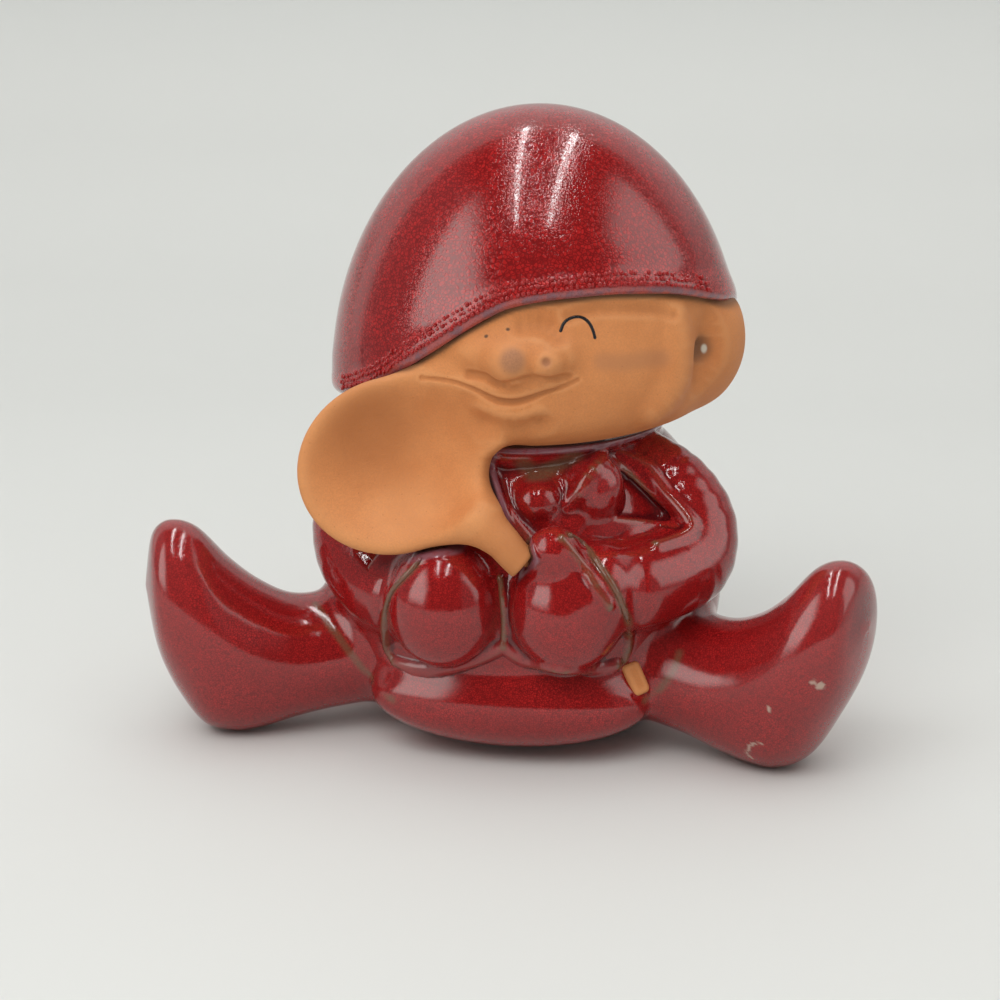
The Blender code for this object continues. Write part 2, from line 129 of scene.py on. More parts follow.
def strand(points, knots, count=12):
    # rolled coil of clay through knots of x, y, z and radius
    curve = bent(knots, count)
    nearest = None
    for start, end in zip(curve, curve[1:]):
        along = end[:3] - start[:3]
        share = np.clip((points - start[:3]) @ along / (along @ along), 0, 1)
        gap = size(points - start[:3] - share[:, None] * along) - (start[3] + (end[3] - start[3]) * share)
        nearest = gap if nearest is None else np.minimum(nearest, gap)
    return nearest


def slopeOf(form, points, reach=0.04):
    slopes = []
    for axis in range(3):
        shift = np.zeros(3)
        shift[axis] = reach
        slopes.append((form(points + shift) - form(points - shift)) / (2 * reach))
    return np.stack(slopes, 1)


def bendOf(form, points, reach):
    # how sharply a surface bends: positive on ridges, negative in valleys, per millimetre
    total = -6 * form(points)
    for axis in range(3):
        shift = np.zeros(3)
        shift[axis] = reach
        total = total + form(points + shift) + form(points - shift)
    return total / reach ** 2


# small forms are placed as the camera sees them, on an upright sheet just in front of the belly
sheetY = -42.0
laying = {"startBefore": 26.0, "steps": 70, "stride": 0.7, "longestBack": -2.0, "longestOn": 4.0}


def laid(form, places, lift=0.0):
    # points of a form's skin that the camera sees behind x, z places of the sheet
    places = np.array(places, float)
    aims = np.stack([places[:, 0], np.full(len(places), sheetY), places[:, 1]], 1)
    way = aims - eye
    way = way / size(way)[:, None]
    points = aims - way * laying["startBefore"]
    for step in range(laying["steps"]):
        stride = np.clip(form(points) * laying["stride"], laying["longestBack"], laying["longestOn"])
        points = points + way * stride[:, None]
    outward = slopeOf(form, points)
    return points + outward / size(outward)[:, None] * lift


def laidStrand(form, places, radii, lift=0.0):
    radii = np.broadcast_to(np.array(radii, float), (len(places),))
    return np.column_stack([laid(form, places, lift), radii])


def ringTable(rows, count=240):
    # rows of level, middle, half size across, half size the other way, each with its slope
    rows = np.array(rows, float)
    levels = np.linspace(rows[0, 0], rows[-1, 0], count)
    columns = [levels] + [np.interp(levels, rows[:, 0], rows[:, column]) for column in (1, 2, 3)]
    return columns + [np.gradient(column, levels) for column in columns[1:]]


def ringForm(along, across, other, table):
    levels = table[0]
    middle, halfAcross, halfOther, middleSlope, acrossSlope, otherSlope = (
        np.interp(along, levels, column) for column in table[1:])
    ring = np.maximum(np.sqrt(((across - middle) / halfAcross) ** 2 + (other / halfOther) ** 2), 1e-6)
    skinAcross, skinOther = (across - middle) / ring, other / ring
    alongSlope = (skinAcross * middleSlope / halfAcross ** 2 + skinAcross ** 2 * acrossSlope / halfAcross ** 3
                  + skinOther ** 2 * otherSlope / halfOther ** 3)
    steep = np.sqrt((skinAcross / halfAcross ** 2) ** 2 + (skinOther / halfOther ** 2) ** 2 + alongSlope ** 2)
    return (ring - 1) / steep


# torso, an egg on a flat base
torsoSizes = {
    "baseHalfWidth": 24.0, "baseHalfDepth": 21.0, "bellyHalfWidth": 48.6, "bellyHalfDepth": 42.5,
    "bellyHeight": 36.0, "height": 80.0, "neckRadius": 14.0, "topRound": 4.0, "baseRound": 1.2,
    "mound": (1.5, -31.0, 14.8), "moundSize": (33.0, 12.8, 11.6), "moundSoft": 4.0,
}


def torsoHalfSize(level):
    t = torsoSizes
    level = np.clip(np.asarray(level, float), 0, t["height"])
    below = np.sqrt(np.clip(1 - ((t["bellyHeight"] - level) / t["bellyHeight"]) ** 2, 0, 1))
    above = np.sqrt(np.clip(1 - ((level - t["bellyHeight"]) / (t["height"] - t["bellyHeight"])) ** 2, 0, 1))
    low = level < t["bellyHeight"]
    width = np.where(low, t["baseHalfWidth"] + (t["bellyHalfWidth"] - t["baseHalfWidth"]) * below,
                     t["neckRadius"] + (t["bellyHalfWidth"] - t["neckRadius"]) * above)
    depth = np.where(low, t["baseHalfDepth"] + (t["bellyHalfDepth"] - t["baseHalfDepth"]) * below,
                     t["neckRadius"] + (t["bellyHalfDepth"] - t["neckRadius"]) * above)
    return width, depth


lowLevels = torsoSizes["bellyHeight"] * (1 - np.cos(np.linspace(0, np.pi / 2, 60)))
highLevels = torsoSizes["bellyHeight"] + ((torsoSizes["height"] - torsoSizes["bellyHeight"])
                                          * np.sin(np.linspace(0.02, np.pi / 2, 60)))
torsoLevels = np.append(lowLevels, highLevels)
torsoRings = ringTable([(level, 0, *torsoHalfSize(level))
                        for level in torsoLevels if 0.8 < level < torsoSizes["height"] - 0.2], 400)


def torsoForm(points):
    form = ringForm(points[:, 2], points[:, 0], points[:, 1], torsoRings)
    t = torsoSizes
    form = keep(form, points[:, 2] - t["height"], t["topRound"])
    form = merge(form, egg(points, t["mound"], t["moundSize"]), t["moundSoft"])
    return keep(form, -points[:, 2], t["baseRound"])


def onTorso(bearing, level, standOff=0.0):
    turn = math.radians(bearing)
    halfWidth, halfDepth = (float(value) for value in torsoHalfSize(level))
    outward = Vector((math.sin(turn) / halfWidth, -math.cos(turn) / halfDepth, 0)).normalized()
    return tuple(Vector((halfWidth * math.sin(turn), -halfDepth * math.cos(turn), level)) + outward * standOff)


# sleeves lying round the torso, through knots of x, y, z and radius, with small forms placed on the sheet
sleeveShapes = {
    "left": {
        "knots": [(29.5, -11.0, 67.2, 8.0), (36.8, -12.5, 61.8, 9.6), (41.8, -15.5, 54.4, 10.6),
                  (41.8, -20.5, 47.4, 10.7), (37.5, -28.0, 45.0, 10.0), (31.0, -34.5, 44.2, 9.8)],
        "cuff": [(16.6, 57.6), (19.6, 55.8), (21.9, 52.8), (24.4, 49.5), (27.0, 45.5), (29.0, 41.0),
                 (29.9, 38.7), (30.2, 35.1), (30.1, 31.6), (29.2, 28.6)],
        "crest": [(26.5, 77.3), (30.1, 75.7), (34.0, 73.6), (36.2, 70.6), (38.5, 67.6), (41.3, 64.6),
                  (43.3, 62.1), (43.6, 60.1), (41.4, 58.3), (38.7, 57.1), (36.0, 56.1)],
        "dimple": [(30.9, 67.4), (32.4, 65.6)],
    },
    "right": {
        "knots": [(-33.0, -10.0, 62.0, 9.0), (-38.0, -15.0, 54.0, 10.0), (-36.0, -21.5, 46.0, 10.6),
                  (-30.0, -28.0, 41.0, 10.6), (-23.5, -32.5, 39.4, 10.8)],
        "cuff": [(-17.4, 50.4), (-18.3, 48.9), (-20.9, 46.1), (-23.9, 42.4), (-25.4, 38.2), (-25.7, 33.4),
                 (-25.5, 29.2), (-23.5, 25.6)],
        "dimple": [(-26.4, 49.6), (-23.6, 49.0)],
    },
    "cuffRadius": 0.65, "cuffLift": 0.1, "cuffSoft": 1.6, "crestRadius": 1.5, "crestLift": -0.3,
    "crestSoft": 1.4, "dimpleRadius": 1.3, "dimpleLift": 0.1, "dimpleSoft": 1.2,
    "lutedSoft": 4.0, "crestLuted": 2.0,
}

# the fold in the crook of the left sleeve, by its corners, and the hollow in that of the right
crook = {"corners": [(25.6, 77.0), (42.6, 61.4), (22.5, 62.6)], "round": 3.0, "depth": 2.6, "shallower": 0.85,
         "run": (2.0, 14.0), "edge": 1.2, "back": -8.0, "backRound": 1.0}
hollow = {"places": [(-30.0, 52.0), (-25.8, 50.0), (-22.0, 49.4)], "radii": (2.0, 3.6, 2.6), "lift": 1.6,
          "soft": 2.0}


def sleeveBase(points, side):
    return strand(points, sleeveShapes[side]["knots"], 15)


def handsBase(points):
    # torso, sleeves and mittens, on which the small forms of the front are laid
    arms = np.minimum(sleeveBase(points, "left"), sleeveBase(points, "right"))
    hands = np.minimum(mittenEgg(points, "left"), mittenEgg(points, "right"))
    return merge(merge(torsoForm(points), arms, sleeveShapes["lutedSoft"]), hands, mittens["baseSoft"])


# mittens side by side on the belly
mittens = {
    "halfWidth": 12.9, "thickness": 12.2, "halfHeight": 14.6, "level": 39.8, "seam": 1.9, "gap": 1.1,
    "beltHalfWidth": 48.6, "beltHalfDepth": 42.4, "thumb": (13.6, -45.8, 55.0), "thumbSize": (5.8, 4.9, 5.6),
    "thumbSoft": 5.0, "wrist": (24.0, -40.5, 45.0), "wristSize": (8.5, 10.0, 10.0), "wristSoft": 4.0,
    "welt": [(-23.5, 25.6), (-20.0, 24.7), (-14.8, 24.1), (-9.6, 25.0), (-4.4, 27.0), (-0.9, 29.0),
             (1.7, 30.4), (4.2, 28.7), (7.7, 27.1), (12.2, 26.2), (16.8, 25.8), (22.5, 26.4), (27.5, 27.6)],
    "valley": [(0.9, 47.0), (1.3, 43.1), (1.7, 38.4), (2.0, 34.0), (1.8, 31.0)],
    "ridge": [(14.9, 56.6), (17.4, 53.5), (19.9, 50.4), (22.5, 46.5), (25.7, 41.4)],
    "weltRadius": 1.2, "weltSoft": 1.6, "valleyRadius": 0.75, "valleySoft": 0.8, "ridgeRadius": 0.8,
    "ridgeSoft": 1.6, "baseSoft": 3.0, "lutedSoft": 3.2,
}


def mittenEgg(points, side):
    m = mittens
    x = m["seam"] + (m["halfWidth"] + m["gap"]) * (1 if side == "left" else -1)
    y = -m["beltHalfDepth"] * math.sqrt(1 - (x / m["beltHalfWidth"]) ** 2)
    form = egg(points, (x, y, m["level"]), (m["halfWidth"], m["thickness"], m["halfHeight"]))
    if side == "left":
        form = merge(form, egg(points, m["wrist"], m["wristSize"]), m["wristSoft"])
        form = merge(form, egg(points, m["thumb"], m["thumbSize"]), m["thumbSoft"])
    return form


cuffKnots = {side: laidStrand(handsBase, sleeveShapes[side]["cuff"], sleeveShapes["cuffRadius"],
                              sleeveShapes["cuffLift"]) for side in ("left", "right")}
crestKnots = laidStrand(handsBase, sleeveShapes["left"]["crest"], sleeveShapes["crestRadius"],
                        sleeveShapes["crestLift"])
hollowKnots = laidStrand(handsBase, hollow["places"], hollow["radii"], hollow["lift"])
dimpleKnots = {side: laidStrand(handsBase, sleeveShapes[side]["dimple"], sleeveShapes["dimpleRadius"],
                                sleeveShapes["dimpleLift"]) for side in ("left", "right")}
valleyKnots = laidStrand(handsBase, mittens["valley"], mittens["valleyRadius"], 0.25)
weltKnots = laidStrand(handsBase, mittens["welt"], mittens["weltRadius"], -0.2)
knuckleKnots = laidStrand(handsBase, mittens["ridge"], mittens["ridgeRadius"], -0.1)


def crookTool(points):
    # three-cornered fold, as the camera sees it, deepest along its first edge
    seen = points[:, (0, 2)] + (points[:, 1:2] - sheetY) * np.array((math.tan(azimuth), math.tan(elevation)))
    corners = np.array(crook["corners"])
    edges = []
    for start, end in zip(corners, np.roll(corners, -1, 0)):
        outward = np.array((start[1] - end[1], end[0] - start[0])) / np.linalg.norm(end - start)
        edges.append((seen - start) @ outward)
    depth = crook["depth"] * (1 - crook["shallower"] * ramp(-edges[0], *crook["run"]))
    tool = keep(keep(edges[0], edges[1], crook["round"]), edges[2], crook["round"])
    skin = merge(torsoForm(points), sleeveBase(points, "left"), sleeveShapes["lutedSoft"])
    return keep(keep(tool, -skin - depth, crook["edge"]), points[:, 1] - crook["back"], crook["backRound"])


def dished(form, points, side):
    # carves the crook of a sleeve, with a small deeper dimple
    if side == "left":
        form = carve(form, crookTool(points), crook["edge"])
    else:
        form = carve(form, strand(points, hollowKnots, 8), hollow["soft"])
    return carve(form, strand(points, dimpleKnots[side], 3), sleeveShapes["dimpleSoft"])


def chestForm(points):
    return carve(torsoForm(points), crookTool(points), crook["edge"])


def bodyForm(points):
    return dished(dished(torsoForm(points), points, "left"), points, "right")


def sleeveForm(points, side):
    s = sleeveShapes
    form = luted(sleeveBase(points, side), torsoForm(points), s["lutedSoft"])
    if side == "left":
        crest = luted(strand(points, crestKnots, 16), torsoForm(points), s["crestLuted"])
        form = merge(form, crest, s["crestSoft"])
    form = dished(form, points, side)
    return merge(form, strand(points, cuffKnots[side], 18), s["cuffSoft"])


def mittenForm(points, side):
    m = mittens
    body = merge(torsoForm(points), sleeveBase(points, side), sleeveShapes["lutedSoft"])
    if side == "left":
        body = carve(body, crookTool(points), crook["edge"])
    form = luted(mittenEgg(points, side), body, m["lutedSoft"])
    if side == "left":
        form = merge(form, strand(points, knuckleKnots, 10), m["ridgeSoft"])
        form = merge(form, strand(points, valleyKnots, 8), m["valleySoft"])
    welt = weltKnots[5:] if side == "left" else weltKnots[:7]
    return merge(form, strand(points, welt, 14), m["weltSoft"])


# legs with the boot turned up at the toe: length from the torso's middle, heel line, top line, half width
legShapes = {
    "right": {"swing": 20.0, "soleRound": 4.0, "rings": [
        (32.0, 6.5, 38.0, 17.5), (37.6, 6.0, 36.6, 16.5), (48.5, 4.6, 33.4, 15.0), (56.8, 3.0, 33.2, 15.0),
        (64.6, 1.0, 37.2, 15.5), (71.4, 0.2, 43.0, 16.0), (79.0, 2.6, 51.2, 16.0), (85.2, 11.6, 53.2, 14.0),
        (89.4, 21.6, 50.6, 11.0), (91.8, 30.0, 44.6, 6.0)]},
    "left": {"swing": 23.3, "soleRound": 4.0, "rings": [
        (32.0, 6.5, 38.0, 17.5), (37.6, 6.0, 36.6, 16.5), (48.5, 4.2, 33.4, 15.0), (56.8, 2.0, 33.2, 15.0),
        (64.6, 0.4, 36.4, 15.5), (71.4, 0.4, 42.0, 16.0), (78.2, 4.5, 49.6, 16.0), (84.0, 14.2, 51.5, 14.0),
        (88.4, 23.6, 49.0, 11.0), (90.8, 31.0, 43.0, 6.0)]},
}
legTables = {}
for side, shape in legShapes.items():
    rings = [(length, (low + high) / 2, (high - low) / 2, width)
             for length, low, high, width in shape["rings"]]
    legTables[side] = ringTable(bent(rings, 160))


def legForm(points, side):
    shape = legShapes[side]
    turn = math.radians(-shape["swing"] if side == "left" else 180 + shape["swing"])
    along = points[:, 0] * math.cos(turn) + points[:, 1] * math.sin(turn)
    other = -points[:, 0] * math.sin(turn) + points[:, 1] * math.cos(turn)
    form = ringForm(along, points[:, 2], other, legTables[side])
    form = keep(form, along - shape["rings"][-1][0], shape["soleRound"])
    return keep(form, shape["rings"][0][0] - along, 2.0)


def bootForm(points, side):
    return luted(legForm(points, side), torsoForm(points), 4.0)


# head and hood, in a frame that leans to the gnome's left
headPlace = {"x": 4.2, "z": 98.0, "lean": 6.2}
headSizes = {
    "halfWidth": 45.2, "halfDepth": 44.3, "widest": 4.0, "rise": 47.3, "jawDrop": 24.7, "jawSlope": 0.21,
    "jawHalfSize": 33.0, "jawRound": 8.5, "hoodHalfWidth": 48.9, "hoodHalfDepth": 45.4, "hoodWidest": -12.0,
    "hoodRise": 63.1, "hoodShear": 0.03, "hemDrop": 30.0, "hemHalfSize": 26.0, "hoodWall": 4.0,
    "faceFullness": 1.15, "hoodFullness": 0.6, "steepest": 1.3, "pressedIn": 2.4, "pressedSoft": 3.0,
    "earSoft": 5.0, "hoodGap": 0.5, "openingGap": 1.5,
}


def toHead(points):
    lean = math.radians(headPlace["lean"])
    x = points[:, 0] - headPlace["x"]
    z = points[:, 2] - headPlace["z"]
    return np.stack([x * math.cos(lean) - z * math.sin(lean), points[:, 1],
                     x * math.sin(lean) + z * math.cos(lean)], 1)


def fromHead(place):
    lean = math.radians(headPlace["lean"])
    x, y, z = place
    return (headPlace["x"] + x * math.cos(lean) + z * math.sin(lean), y,
            headPlace["z"] - x * math.sin(lean) + z * math.cos(lean))


def skirtTable(widest, drop, halfWidth, halfDepth, lowHalf, fullness):
    # rings that close in below the widest level
    turns = np.linspace(0, np.pi / 2, 80)
    share = np.sin(turns) ** fullness
    return ringTable([(widest - (widest + drop) * math.cos(turn), 0, lowHalf + (halfWidth - lowHalf) * s,
                       lowHalf + (halfDepth - lowHalf) * s) for turn, s in zip(turns, share)], 300)


faceRings = skirtTable(headSizes["widest"], headSizes["jawDrop"], headSizes["halfWidth"],
                       headSizes["halfDepth"], headSizes["jawHalfSize"], headSizes["faceFullness"])
faceRings[5:] = [np.minimum(column, headSizes["steepest"]) for column in faceRings[5:]]
hoodRings = skirtTable(headSizes["hoodWidest"], headSizes["hemDrop"], headSizes["hoodHalfWidth"],
                       headSizes["hoodHalfDepth"], headSizes["hemHalfSize"], headSizes["hoodFullness"])

# the face's small forms, placed on the sheet; a mound has its place, half sizes, how proud it is and softness
faceShape = {
    "noseMound": ((4.2, 97.8), (12.8, 6.0, 5.8), 4.0, 3.8),
    "noseTip": ((3.6, 96.7), (4.9, 4.6, 4.6), 6.0, 2.2),
    "wing": ((11.2, 96.7), (3.5, 3.6, 3.3), 4.8, 1.6), "wingPit": (11.2, 96.6),
    "bridge": [(6.0, 104.6), (10.5, 105.0), (13.5, 102.5)],
    "mouth": [(-16.5, 92.2), (-12.0, 91.9), (-8.4, 91.2), (-4.4, 89.8), (-1.7, 88.4), (0.9, 87.5),
              (4.3, 87.4), (7.6, 88.4), (10.9, 89.8), (14.9, 91.3), (18.1, 92.9)],
    "mouthRadii": (0.25, 0.32, 0.4, 0.5, 0.65, 0.8, 0.85, 0.7, 0.5, 0.36, 0.25),
    "upperLip": [(-7.0, 91.6), (-2.0, 91.0), (1.6, 89.4), (4.6, 89.3), (7.6, 90.8), (12.0, 92.2)],
    "upperLipRadii": (0.9, 1.3, 1.5, 1.5, 1.3, 0.8),
    "upperFold": [(-5.8, 93.3), (-2.4, 93.1), (0.9, 91.6), (3.6, 92.0), (6.9, 93.0), (10.9, 93.0),
                  (16.0, 93.4)],
    "lowerLip": [(-2.0, 85.2), (1.5, 84.5), (5.0, 84.4), (8.5, 85.4)],
    "chinFold": [(-3.0, 82.4), (1.0, 81.4), (5.0, 81.4), (9.0, 82.6)],
    "brow": [(16.0, 107.0), (21.7, 108.7), (28.2, 109.0), (34.7, 109.0), (38.6, 108.2)],
    "cheekRidge": [(39.4, 108.0), (40.4, 102.0), (40.3, 96.0), (38.6, 90.5), (35.2, 86.2)],
    "ear": ((42.9, -2.0, 95.5), (9.8, 14.5, 13.6)), "earCup": [(46.4, 106.0), (46.6, 100.0), (44.8, 94.0)],
    "earPit": (45.9, 100.3),
}

# hood's front edge in the head's frame, from beside the spoon up over the brow and down behind the ear
hoodEdge = {
    "sweep": [(-70.0, -40.0), (-60.0, -32.0), (-50.0, -24.5), (-38.6, -18.3), (-30.1, -12.7), (-24.6, -7.8),
              (-18.8, -2.9), (-12.8, 2.2), (-7.0, 6.7), (-2.3, 9.6), (3.7, 11.7), (9.7, 13.1), (18.5, 14.6),
              (27.5, 15.1), (33.5, 14.7), (39.8, 13.0), (45.5, 10.5), (54.0, 6.0), (64.0, 1.0), (75.0, -4.0)],
    "earLine": 17.0, "earSlope": 0.9, "corner": 10.0, "round": 2.6, "roll": 0.6, "rollSetBack": 3.2,
    "rollWidth": 2.2,
}
sweepCurve = bent([(x, z, 0) for x, z in hoodEdge["sweep"]], 200)
sweepSlope = np.gradient(sweepCurve[:, 1], sweepCurve[:, 0])


def openingForm(local):
    # distance from the hood's opening, which the edge's curve bounds above and a slanting line behind the ear
    level = np.interp(local[:, 0], sweepCurve[:, 0], sweepCurve[:, 1])
    slope = np.interp(local[:, 0], sweepCurve[:, 0], sweepSlope)
    under = (local[:, 2] - level) / np.sqrt(1 + slope ** 2)
    front = local[:, 1] - (hoodEdge["earLine"] - local[:, 2] * hoodEdge["earSlope"])
    return keep(under, front / math.hypot(1, hoodEdge["earSlope"]), hoodEdge["corner"])


def hoodEgg(local):
    h = headSizes
    shifted = local + np.array((1.0, 0, 0)) * (h["hoodShear"] * np.maximum(local[:, 2] + 8, 0))[:, None]
    upper = egg(shifted, (0, 0, h["hoodWidest"]), (h["hoodHalfWidth"], h["hoodHalfDepth"], h["hoodRise"]))
    lower = ringForm(local[:, 2], local[:, 0], local[:, 1], hoodRings)
    return np.where(local[:, 2] > h["hoodWidest"], upper, lower)


def hoodForm(points):
    h = headSizes
    local = toHead(points)
    form = hoodEgg(local)
    opening = openingForm(local)
    roll = hoodEdge["roll"] * np.exp(-((opening - hoodEdge["rollSetBack"]) / hoodEdge["rollWidth"]) ** 2)
    form = keep(form - roll, -h["hemDrop"] - local[:, 2], 5.0)
    form = carve(form, form + h["hoodWall"] + roll, 0.5)
    form = keep(form, -h["hemDrop"] + 3.0 - local[:, 2], 1.0)
    return carve(form, opening, hoodEdge["round"])


def headBase(points):
    h = headSizes
    local = toHead(points)
    upper = egg(local, (0, 0, h["widest"]), (h["halfWidth"], h["halfDepth"], h["rise"]))
    lower = ringForm(local[:, 2], local[:, 0], local[:, 1], faceRings)
    form = np.where(local[:, 2] > h["widest"], upper, lower)
    form = keep(form, h["jawSlope"] * local[:, 0] - h["jawDrop"] - local[:, 2], h["jawRound"])
    hood = hoodEgg(local)
    form = keep(form, hood + h["pressedIn"], h["pressedSoft"])
    form = merge(form, egg(points, *faceShape["ear"]), h["earSoft"])
    beneath = np.minimum(openingForm(local) - h["openingGap"], hood + h["hoodWall"] - h["hoodGap"])
    return keep(form, beneath, 1.0)


def mound(form, place, halfSizes, proud):
    # centre of an egg that stands a given height out of a skin
    return laid(form, [place])[0] + np.array((0, halfSizes[1] - proud, 0))


faceMounds = [(mound(headBase, place, halfSizes, proud), halfSizes, soft) for place, halfSizes, proud, soft in
              (faceShape["noseMound"], faceShape["noseTip"], faceShape["wing"])]
lipKnots = laidStrand(headBase, faceShape["upperLip"], faceShape["upperLipRadii"], -0.2)
lowerLipKnots = laidStrand(headBase, faceShape["lowerLip"], (1.8, 2.4, 2.4, 1.8), -0.9)
cheekKnots = laidStrand(headBase, faceShape["cheekRidge"], (1.5, 2.2, 2.4, 2.2, 1.5), -1.2)


def featured(points):
    # head with what stands out of the face
    form = headBase(points)
    for centre, halfSizes, soft in faceMounds:
        form = merge(form, egg(points, centre, halfSizes), soft)
    form = merge(form, strand(points, lowerLipKnots, 6), 4.0)
    form = merge(form, strand(points, cheekKnots, 8), 5.0)
    return merge(form, strand(points, lipKnots, 9), 2.5)


# rolled collar under the chin, and the two soft folds of cloth on the chest, placed on the sheet
collarShape = {
    "drop": 24.6, "roll": 3.2, "halfWidth": 29.5, "halfDepth": 32.0,
    "lutedSoft": 3.0, "foldLuted": 2.0, "foldSoft": 1.5, "ridgeSoft": 2.2,
    "folds": [((9.0, 64.2), (5.9, 6.5, 5.8), 3.4, 12), ((20.6, 67.0), (7.8, 7.5, 9.0), 3.6, -14)],
    "foldRidge": [(24.0, 76.5), (22.6, 73.8), (20.8, 71.1), (18.7, 67.6), (16.5, 64.7)],
    "sideBead": [(-2.0, 75.5), (-0.8, 67.8), (2.8, 61.4), (7.5, 56.1)],
}


def collarRoll(points):
    c = collarShape
    turns = np.linspace(0, 2 * np.pi, 25)
    ring = [(*fromHead((c["halfWidth"] * math.sin(turn), -c["halfDepth"] * math.cos(turn),
                        headSizes["jawSlope"] * c["halfWidth"] * math.sin(turn) - c["drop"])), c["roll"])
            for turn in turns]
    return luted(strand(points, ring, 37), chestForm(points), c["lutedSoft"])


foldEggs = [(mound(torsoForm, place, halfSizes, proud), halfSizes, turn)
            for place, halfSizes, proud, turn in collarShape["folds"]]


def foldsForm(points):
    c = collarShape
    form = collarRoll(points)
    chest = chestForm(points)
    for centre, halfSizes, turn in foldEggs:
        form = merge(form, luted(egg(points, centre, halfSizes, turn), chest, c["foldLuted"]), c["foldSoft"])
    return form


foldRidgeKnots = laidStrand(foldsForm, collarShape["foldRidge"], (0.8, 1.2, 1.5, 1.3, 0.8), -0.2)
sideBeadKnots = laidStrand(torsoForm, collarShape["sideBead"], (2.4, 2.2, 2.0, 1.6), 0.5)


def collarForm(points):
    c = collarShape
    form = merge(foldsForm(points), strand(points, foldRidgeKnots, 9), c["ridgeSoft"])
    return merge(form, luted(strand(points, sideBeadKnots, 8), torsoForm(points), 1.5), c["foldSoft"])


def wholeForm(points):
    legs = np.minimum(legForm(points, "left"), legForm(points, "right"))
    return merge(handsBase(points), legs, 4.0)


# spoon: a shallow oval bowl that flows into the cheek, and a handle that runs under the left mitten
spoonShape = {
    "middle": (-22.3, -44.6, 72.6), "halfLength": 22.8, "halfWidth": 20.4, "depth": 12.0, "tilt": 9.0,
    "yaw": 9.0, "slope": -20.0, "lipLevel": 1.2, "lipRound": 5.0, "hollowMiddle": (0.6, 0.6, 4.5),
    "hollowSize": (20.4, 17.6, 11.5), "hollowSoft": 5.0,
    "handle": [(-12.5, -42.0, 67.6, 9.0), (-7.6, -43.4, 63.8, 7.4), (-3.8, -44.8, 61.2, 5.8),
               (-0.6, -45.8, 58.8, 4.6), (2.2, -46.4, 56.6, 4.0), (4.6, -46.8, 54.1, 3.8),
               (7.2, -46.8, 51.5, 3.7), (9.8, -46.6, 49.0, 3.6)],
    "handleEnd": (7.0, 51.7), "handleFacing": (0.77, -0.64), "handleCorner": 0.7,
    "tailStart": (8.0, -42.0, 50.5),
    "neckCut": ((3.4, -42.0, 70.6), (5.6, 14.0, 5.8)), "neckCutSoft": 1.6,
    "tail": [(20, 42.0), (29, 31.0)], "tailRadius": 1.6, "tailStandOff": -4.0, "handleSoft": 6.0,
    "cheekSoft": 8.0, "endPatch": (31.9, 24.6), "endSizes": (2.2, 1.3, 3.9), "endTurn": -20.0, "endRound": 1.2,
}
spoonLean = math.radians(spoonShape["tilt"])
spoonYaw = math.radians(spoonShape["yaw"])
spoonFacing = np.array((math.sin(spoonYaw) * math.cos(spoonLean), -math.cos(spoonYaw) * math.cos(spoonLean),
                        math.sin(spoonLean)))
spoonSlope = math.radians(spoonShape["slope"])
spoonAlong = np.array((math.cos(spoonSlope), 0, -math.sin(spoonSlope)))
spoonAlong = spoonAlong - spoonAlong @ spoonFacing * spoonFacing
spoonAlong = spoonAlong / np.linalg.norm(spoonAlong)
spoonAcross = np.cross(spoonFacing, spoonAlong)


def inSpoon(points):
    offset = points - np.array(spoonShape["middle"])
    return np.stack([offset @ spoonAlong, offset @ spoonAcross, offset @ spoonFacing], 1)


def bowlForm(local):
    s = spoonShape
    form = egg(local, (0, 0, 0), (s["halfLength"], s["halfWidth"], s["depth"]))
    return keep(form, local[:, 2] - s["lipLevel"], s["lipRound"])


def hollowForm(local):
    return egg(local, spoonShape["hollowMiddle"], spoonShape["hollowSize"])


endMiddle = laid(wholeForm, [spoonShape["endPatch"]], 0.2)[0]
endOut = slopeOf(wholeForm, endMiddle[None], 1.0)[0]
endOut = endOut / np.linalg.norm(endOut)
endTurn = math.radians(spoonShape["endTurn"])
endAlong = np.array((math.sin(-endTurn), 0, -math.cos(endTurn)))
endAlong = endAlong - endAlong @ endOut * endOut
endAlong = endAlong / np.linalg.norm(endAlong)
endAcross = np.cross(endOut, endAlong)


def endForm(points):
    # squared end of the handle, showing below the cuff
    offset = points - endMiddle
    local = np.stack([offset @ endAcross, offset @ endOut, offset @ endAlong], 1)
    beyond = np.abs(local) - (np.array(spoonShape["endSizes"]) - spoonShape["endRound"])
    return size(np.maximum(beyond, 0)) + np.minimum(beyond.max(1), 0) - spoonShape["endRound"]


def spoonMember(points):
    # bowl and handle, whose end is cut square beside the thumb
    s = spoonShape
    beyond = (points[:, (0, 2)] - np.array(s["handleEnd"])) @ np.array(s["handleFacing"])
    handle = keep(strand(points, s["handle"], 36), beyond, s["handleCorner"])
    form = merge(bowlForm(inSpoon(points)), handle, s["handleSoft"])
    return carve(form, egg(points, *s["neckCut"]), s["neckCutSoft"])


# the cheek runs into the bowl in one surface, so the lines of the face are cut after both are joined
def cheeked(points, sink=0.0):
    form = merge(spoonMember(points), featured(points) + sink, spoonShape["cheekSoft"])
    form = carve(form, egg(points, *spoonShape["neckCut"]), spoonShape["neckCutSoft"])
    return carve(form, hollowForm(inSpoon(points)), spoonShape["hollowSoft"])


